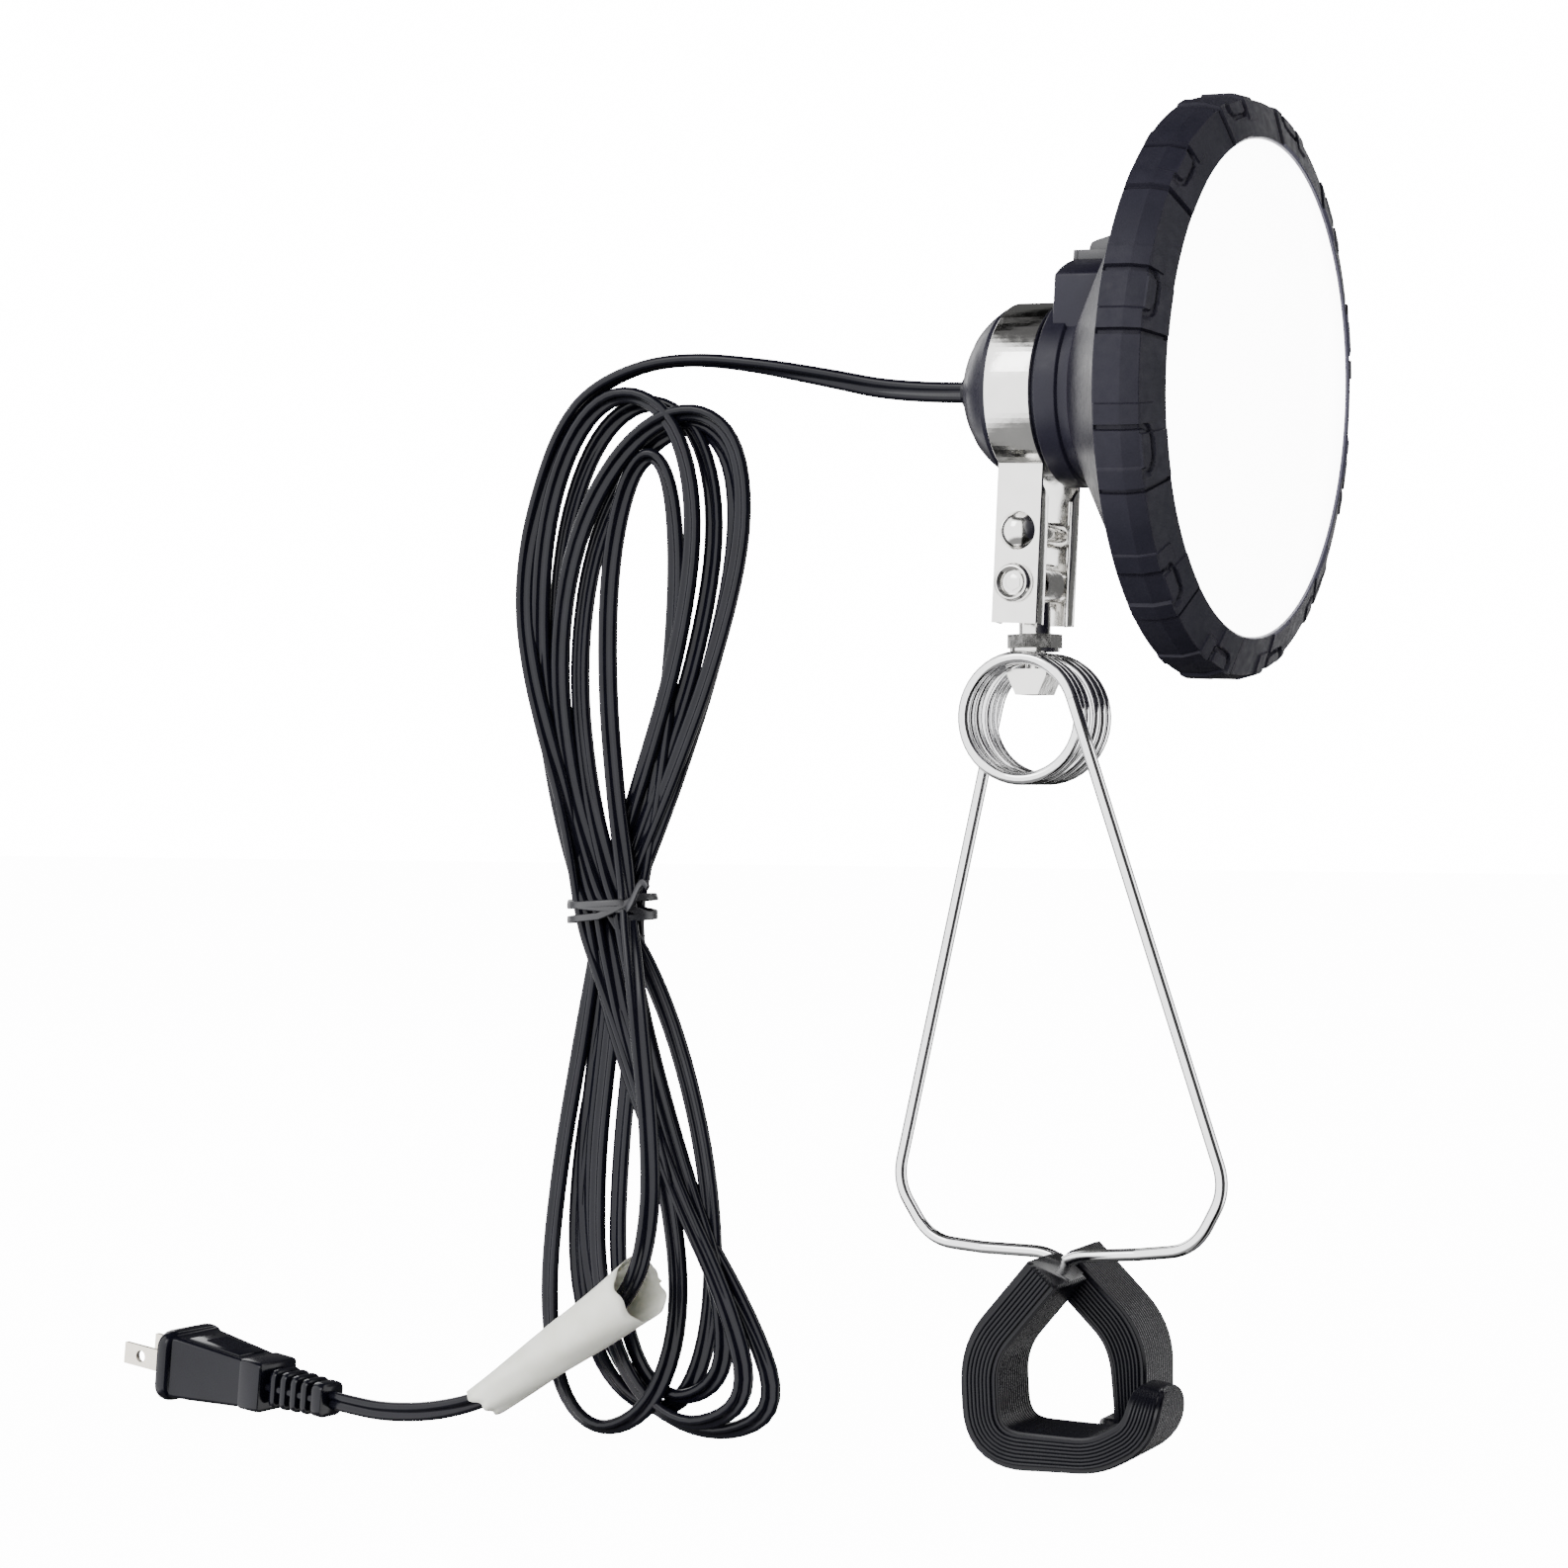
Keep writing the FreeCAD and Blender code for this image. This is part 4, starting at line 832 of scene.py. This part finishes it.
def arm_points(side):
    slope = math.tan(math.radians(LEG_ANGLE))
    start = coil_point(LEG_ANGLE)
    near = -(JAW_APART + WIRE + 2.1)
    knee = -124.0
    knee_x = start[0] + slope * (start[2] - knee)
    jaw = JAW_LINE[side][1:]
    down = [(x, near, z) for x, z in jaw[:2]]
    return [start, (start[0] + slope * (start[2] + 60), start[1] * 0.9, -60),
            (knee_x, -9.4, knee), (knee_x - 9.6, -8.0, -139.8), (24.0, -5.6, -141.4),
            (2.6, near, -142.4), *down]


def smooth_path(points, radius, steps=8):
    """A route in space with its corners rounded, as points about 8 mm apart on its runs."""
    out = [Vector(points[0])]
    for before, corner, after in zip(points, points[1:], points[2:]):
        a, b, c = Vector(before), Vector(corner), Vector(after)
        half_turn = (math.pi - (a - b).angle(c - b)) / 2
        curve = rounded_corner(a, b, c, half_turn, radius, steps)
        spacings = int((curve[0] - out[-1]).length / 8)
        for i in range(1, spacings + 1):
            out.append(out[-1].lerp(curve[0], 1 / (spacings + 2 - i)))
        out += curve
    out.append(Vector(points[-1]))
    return out


def spring():
    round_wire = [(u * MM, v * MM) for u, v in circle(WIRE, 24)]
    half = 90 + 180 * TURNS - LEG_ANGLE
    for side, name in ((-1, "front"), (1, "rear")):
        def place(x, y, z):
            return clamp(x, y, z) if side < 0 else clamp(-x, -y, z)

        count = 130
        turns = [coil_point(LEG_ANGLE + half * i / count) for i in range(count + 1)]
        path = [place(*p) for p in turns]
        verts, faces = sweep(path, round_wire, (0, 1, 0), caps=False)
        reach = turns[0][1] * -side
        piece(f"coil_{name}", verts, faces, "spring_chrome", None, (f"coil_{name}_turns",), 60,
              blend=("clamp_core", f"{name}_arm", COIL + Vector((0, reach * 0.15, 0)) * MM,
                     COIL + Vector((0, reach * 0.97, 0)) * MM))
        leg = smooth_path(arm_points(side), 15)
        path = [place(*p) for p in leg]
        frames = carried(path, (0, 1, 0))
        verts, faces = sweep(path, round_wire, lambda i: frames[i])
        piece(f"arm_{name}", verts, faces, "spring_chrome", f"{name}_arm",
              (f"{name}_spring_arm",), 60)


# ---------------------------------------------------------------- ribbed jaw sleeves
RIB_DEPTH = 0.3
TOE_ROUND = 11.0


def sleeve_section(wide, thick):
    """A ribbed rounded rectangle with a crease along each corner."""
    radius, ribs_wide, ribs_thick, crease, step = 1.6, 15, 7, 0.75, 6
    swell = radius * 0.62
    points = []
    flat_wide, flat_thick = wide - 2 * radius, thick - 2 * radius
    sides = ((flat_thick, ribs_thick, 1, 0), (flat_wide, ribs_wide, 0, 1),
             (flat_thick, ribs_thick, -1, 0), (flat_wide, ribs_wide, 0, -1))
    for length, ribs, out_u, out_v in sides:
        for i in range(ribs * step):
            t = i / (ribs * step)
            wave = abs(math.sin(math.pi * t * ribs)) ** 0.7
            out = -RIB_DEPTH * (1 - wave) if i else -crease
            along = (t - 0.5) * length
            if out_u:
                points.append((out_u * (wide / 2 + out), out_u * along))
            else:
                points.append((-out_v * along, out_v * (thick / 2 + out)))
        end = length / 2
        if out_u:
            points.append((out_u * (wide / 2 - crease), out_u * end))
            points.append((out_u * (wide / 2 - radius + swell), out_u * (end + swell)))
        else:
            points.append((-out_v * end, out_v * (thick / 2 - crease)))
            points.append((-out_v * (end + swell), out_v * (thick / 2 - radius + swell)))
    return points


def jaw_path(side):
    """The sleeve's centre line as evenly spaced points in the clamp's own frame."""
    line = JAW_LINE[side]
    rounded = []
    for i, point in enumerate(smooth_path([(x, 0, z) for x, z in line], 21, 14)):
        if not rounded or (point - rounded[-1]).length > 0.4:
            rounded.append(point)
    return rounded


def jaws():
    for side, name in ((-1, "front"), (1, "rear")):
        route = jaw_path(side)
        gone = [0.0]
        for a, b in zip(route, route[1:]):
            gone.append(gone[-1] + (b - a).length)
        whole = gone[-1]
        stops = np.concatenate([np.linspace(0, whole - TOE_ROUND, 46),
                                whole - TOE_ROUND * (1 - np.sin(np.linspace(0.08, 1.5, 12)))])
        even = [Vector([np.interp(s, gone, [p[k] for p in route]) for k in range(3)])
                for s in stops]
        middle_y = -(JAW_APART + JAW_WIDE / 2)
        path = []
        for p in even:
            x, y, z = p.x, middle_y, p.z
            path.append(clamp(x, y, z) if side < 0 else clamp(-x, -y, z))
        sections = []
        for s in stops:
            into_toe = max(s - (whole - TOE_ROUND), 0) / TOE_ROUND
            shrink = math.sqrt(max(1 - into_toe ** 2, 0.0025))
            thin = 1 - 0.12 * ramp(s, whole * 0.45, whole * 0.75)
            close = 0.35 + 0.65 * math.sqrt(max(1 - into_toe ** 6, 0))
            sections.append([(u * MM * (0.18 + 0.82 * shrink), v * MM * thin * close)
                             for u, v in sleeve_section(JAW_WIDE, JAW_THICK)])
        verts, faces = sweep(path, lambda i: sections[i], (0, 1, 0), caps=False)
        size = len(sections[0])
        faces.append(tuple((len(path) - 1) * size + j for j in range(size)))
        # the top end, closed round the wire, a little inside its rim
        rim = [verts[j].copy() for j in range(size)]
        centre = sum(rim, Vector()) / size
        outward = (path[0] - path[1]).normalized()
        start = len(verts)
        verts += [centre + (v - centre) * 0.88 + outward * 0.5 * MM for v in rim]
        for j in range(size):
            k = (j + 1) % size
            faces.append((k, j, start + j, start + k))
        faces.append(tuple(start + j for j in range(size - 1, -1, -1)))
        piece(f"{name}_sleeve", verts, faces, "jaw_vinyl", f"{name}_arm",
              (f"{name}_jaw_sleeve",), sharp=40)


# ---------------------------------------------------------------- plug
PLUG_TURN = Matrix.Rotation(math.radians(-8.0), 3, "Z") @ Matrix.Rotation(math.radians(5.7), 3, "Y")
PLUG_LONG = 59.4
CORD_END = Vector(TAIL[-1][:3]) * MM
PLUG_AT = CORD_END - PLUG_TURN @ Vector((PLUG_LONG, 0, 0)) * MM


def plug_point(x, y, z):
    """A point of the plug: x from the blades' face to the cord, y across the blades, z up."""
    return PLUG_AT + PLUG_TURN @ Vector((x, y, z)) * MM


def loft(stations, radius, steps=3):
    """A closed shape through rounded rectangles (x, wide, high[, radius])."""
    verts, faces = [], []
    for station in stations:
        x, wide, high = station[:3]
        r = station[3] if len(station) > 3 else radius
        section = rounded_box_section(wide, high, min(r, wide / 2.05, high / 2.05), steps)
        verts += [plug_point(x, u, v) for u, v in section]
    size = 4 * (steps + 1)
    for i in range(len(stations) - 1):
        for j in range(size):
            k = (j + 1) % size
            faces.append((i * size + j, i * size + k, (i + 1) * size + k, (i + 1) * size + j))
    faces.append(tuple(range(size - 1, -1, -1)))
    faces.append(tuple((len(stations) - 1) * size + j for j in range(size)))
    return shape_of(verts, faces)


def plug():
    shapes = [loft([(0.0, 21.5, 18.1, 4), (0.15, 23.3, 19.9, 4.5), (0.9, 24.3, 20.8, 5),
                    (1.6, 24.5, 21.0, 5), (3.0, 24.5, 21.0, 5), (3.8, 24.1, 20.6, 4.8),
                    (4.3, 22.8, 19.8, 4.2), (4.6, 20.4, 18.9, 2.0), (6.0, 19.5, 18.2, 1.4),
                    (29.5, 15.1, 14.2, 1.2), (30.2, 15.0, 14.1, 1.2)], 3, 5),
              loft([(29.6, 14.4, 13.3, 1.0), (29.9, 15.6, 14.5, 1.2), (30.6, 16.0, 14.9, 1.4),
                    (36.8, 16.2, 14.7, 1.6), (37.7, 15.9, 14.4, 1.6), (38.0, 14.8, 13.4, 1.2)], 1.5, 4),
              loft([(37.5, 6.4, 6.4, 1.8), (58.5, 6.2, 6.2, 1.8)], 1.8, 4)]
    for i in range(5):
        start = 39.6 + 3.9 * i
        end = start + 2.6 if i < 4 else PLUG_LONG
        wide = 11.4 - 0.35 * i
        stations = ((start, 1.6, 1.8), (start + 0.35, 0.3, 2.2), (start + 0.7, 0, 2.4),
                    (end - 0.7, 0, 2.4), (end - 0.3, 0.3, 2.2), (end, 1.6, 1.8))
        shapes.append(loft([(x, wide - less, wide - less, corner) for x, less, corner in stations],
                           2.2, 4))
    # a spine along each side of the strain relief
    shapes.append(loft([(x, 10.4 - 0.09 * (x - 38), 2.6, 1.0) for x in (37.8, 48.0, 58.0)], 1.0, 3))
    # the finger pad on top and below: a frame round a field of small pyramids
    for up in (1, -1):
        def top(x):
            return up * (18.2 / 2 - (x - 6.0) / 23.5 * 2.0)

        pad = [(8.5, -7.2), (27.5, -5.6), (27.5, 5.6), (8.5, 7.2)]
        shapes.append(prism(pad, -0.6, 0.45,
                            lambda u, v, depth: plug_point(u, v, top(u) + up * depth), 0.3, 2))
        verts, faces = [], []
        pitch, columns, rows = 0.95, 11, 9
        for i in range(columns):
            for j in range(rows):
                x, y = 12.5 + pitch * i, pitch * (j - rows / 2)
                low = top(x) + up * 0.4
                base = len(verts)
                verts += [plug_point(x, y, low), plug_point(x + pitch, y, low),
                          plug_point(x + pitch, y + pitch, low), plug_point(x, y + pitch, low),
                          plug_point(x + pitch / 2, y + pitch / 2, low + up * 0.42)]
                for k in range(4):
                    faces.append((base + k, base + (k + 1) % 4, base + 4))
                faces.append((base + 3, base + 2, base + 1, base))
        shapes.append(shape_of(verts, faces))
    as_piece("plug_moulding", shapes, "cord_vinyl", "swivel", ("plug_body",), 38)


# ---------------------------------------------------------------- label and tie
def label():
    """Paper rolled into a cone round the cord, with its edge lapped and its ends cut aslant."""
    top, foot = Vector((-117.0, -19.8, 18.0)), Vector((-166.0, -19.4, -16.4))
    axis = (foot - top)
    length = axis.length
    axis.normalize()
    side = axis.cross(Vector((0, 0, 1))).normalized()
    up = side.cross(axis)
    verts, faces = [], []
    rows, columns, turns = 22, 84, 1.22
    for j in range(columns + 1):
        angle = 2 * math.pi * turns * j / columns
        lap = 0.55 * j / columns * turns
        for i in range(rows + 1):
            t = i / rows
            ragged = 1.4 * math.sin(3.1 * angle + 0.6) + 0.9 * math.sin(7.3 * angle)
            start = 0.5 * ragged - 2.6 * math.cos(angle - 0.5)
            end = length + 0.6 * ragged - 2.2 * math.cos(angle + 1.2)
            along = start + (end - start) * t
            radius = 9.6 - 3.7 * t - lap + 0.32 * math.sin(2 * angle + 3 * t) \
                + 0.16 * math.sin(5 * angle + 9 * t)
            spot = top + axis * along + (side * math.cos(angle) + up * math.sin(angle) * 0.94) * radius
            verts.append(spot * MM)
    for j in range(columns):
        for i in range(rows):
            a = j * (rows + 1) + i
            faces.append((a, a + 1, a + rows + 2, a + rows + 1))
    data = bpy.data.meshes.new("label_roll")
    data.from_pydata(verts, [], faces)
    roll = finished("label_roll", data, "label_paper", "swivel", ("cord_label",), 60)
    thick = roll.modifiers.new("thick", "SOLIDIFY")
    thick.thickness = 0.16 * MM
    thick.offset = 0


def tie():
    """A twist tie: thin coated wire wound round the strands, its ends twisted together."""
    at = Vector((TIE_X, 0, TIE_Z)) * MM
    half_x, half_y = 13.4, 8.2
    path = []
    turns, steps = 3, 48
    heights = ((0.0, -2.4), (0.9, -1.2), (1.05, 3.4), (2.0, 2.2), (2.1, 0.4), (3.0, 1.4))
    for i in range(turns * steps + 1):
        t = i / steps
        angle = 2 * math.pi * t - 0.9
        swell = 1 + 0.03 * math.sin(3 * angle)
        height = np.interp(t, [h[0] for h in heights], [h[1] for h in heights])
        tilt = 1.1 * math.cos(angle) * (1 if t < 2 else -1)
        path.append(at + Vector((half_x * swell * math.cos(angle), half_y * swell * math.sin(angle),
                                 height + tilt)) * MM)
    last = path[-1]
    for k in range(1, 12):
        path.append(last + Vector((0.9 * k, -0.5 * k, 0.75 * k * math.sin(0.25 * k) + 0.3 * k)) * MM)
    frames = carried(path, (0, 0, 1))
    verts, faces = sweep(path, [(u * MM, v * MM) for u, v in rounded_box_section(2.1, 0.9, 0.4, 3)],
                         lambda i: frames[i])
    piece("twist_tie", verts, faces, "tie", "swivel", ("hank_tie",), 40)


bumper_ring()
lens()
housing()
rear_cap()
strap()
fasteners()
switch()
spring()
jaws()
plug()
label()
tie()

# ---------------------------------------------------------------- studio
def floor():
    """A plain pale floor under the object, which lights nothing and shows in nothing."""
    reach, level = 6.0, CAD_BOX[0][2]
    data = bpy.data.meshes.new("floor")
    corners = [(-reach, -reach, level), (reach, -reach, level), (reach, reach, level),
               (-reach, reach, level)]
    data.from_pydata(corners, [], [(0, 1, 2, 3)])
    look = Shader("floor", (0.85, 0.85, 0.85), 0.8, Specular_IOR_Level=0.1)
    look.set("Emission Color", (1, 1, 1, 1))
    look.set("Emission Strength", FLOOR_LIGHT)
    data.materials.append(look.material)
    ground = bpy.data.objects.new("floor", data)
    bpy.context.scene.collection.objects.link(ground)
    ground.visible_diffuse = False
    ground.visible_glossy = False
    ground.visible_transmission = False


def studio():
    """A white room with dark parts, which the plated parts mirror, and two soft lights."""
    world = bpy.data.worlds.new("studio")
    bpy.context.scene.world = world
    world.use_nodes = True
    tree = world.node_tree

    def node(kind, **settings):
        made = tree.nodes.new(kind)
        for name, value in settings.items():
            setattr(made, name, value)
        return made

    def calculated(operation, first, second):
        made = node("ShaderNodeMath", operation=operation)
        for socket, value in zip(made.inputs, (first, second)):
            if isinstance(value, (int, float)):
                socket.default_value = value
            else:
                tree.links.new(value, socket)
        return made.outputs[0]

    look = node("ShaderNodeTexCoord").outputs["Generated"]
    level = node("ShaderNodeVectorMath", operation="MULTIPLY")
    tree.links.new(look, level.inputs[0])
    level.inputs[1].default_value = (1, 1, 0)
    heading = node("ShaderNodeVectorMath", operation="NORMALIZE")
    tree.links.new(level.outputs["Vector"], heading.inputs[0])
    light = 1.0
    for turn, rise, reach, soft, left in STUDIO_PARTS:
        height = math.radians(rise or 0)
        towards = (math.cos(math.radians(turn)) * math.cos(height),
                   math.sin(math.radians(turn)) * math.cos(height), math.sin(height))
        facing = node("ShaderNodeVectorMath", operation="DOT_PRODUCT")
        tree.links.new(heading.outputs["Vector"] if rise is None else look, facing.inputs[0])
        facing.inputs[1].default_value = towards
        edge = node("ShaderNodeMapRange", interpolation_type="SMOOTHSTEP")
        tree.links.new(facing.outputs["Value"], edge.inputs["Value"])
        edge.inputs["From Min"].default_value = math.cos(math.radians(reach + soft))
        edge.inputs["From Max"].default_value = math.cos(math.radians(reach))
        edge.inputs["To Min"].default_value = 1.0
        edge.inputs["To Max"].default_value = left
        light = calculated("MULTIPLY", light, edge.outputs["Result"])
    seen = node("ShaderNodeLightPath").outputs["Is Camera Ray"]
    strength = node("ShaderNodeMix", data_type="FLOAT")
    tree.links.new(seen, strength.inputs["Factor"])
    tree.links.new(calculated("MULTIPLY", light, STUDIO_LIGHT), strength.inputs["A"])
    strength.inputs["B"].default_value = BACKDROP_LIGHT
    background = tree.nodes["Background"]
    background.inputs["Color"].default_value = (1, 1, 1, 1)
    tree.links.new(strength.outputs["Result"], background.inputs["Strength"])
    for name, at, aim, power, wide in (("key", (-0.6, -1.2, 1.1), (-0.02, 0, 0.2), 7, 0.7),
                                       ("rim", (-1.3, 0.9, 0.8), (-0.05, 0, 0.1), 5, 0.7)):
        lamp_data = bpy.data.lights.new(name, "AREA")
        lamp_data.energy = power
        lamp_data.size = wide
        carrier = bpy.data.objects.new(name, lamp_data)
        carrier.location = at
        carrier.rotation_euler = (Vector(aim) - Vector(at)).to_track_quat("-Z", "Y").to_euler()
        bpy.context.scene.collection.objects.link(carrier)


floor()
studio()

SLOTS = {part["node"]: part["material_slot"] for part in frame["record"]["subparts"]}
for name, node in frame["nodes"].items():
    slot = SLOTS[name]
    node.data.materials.clear()
    node.data.materials.append(LOOKS[slot])

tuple(cord_path[0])
[tuple(p) for p in cord_path]
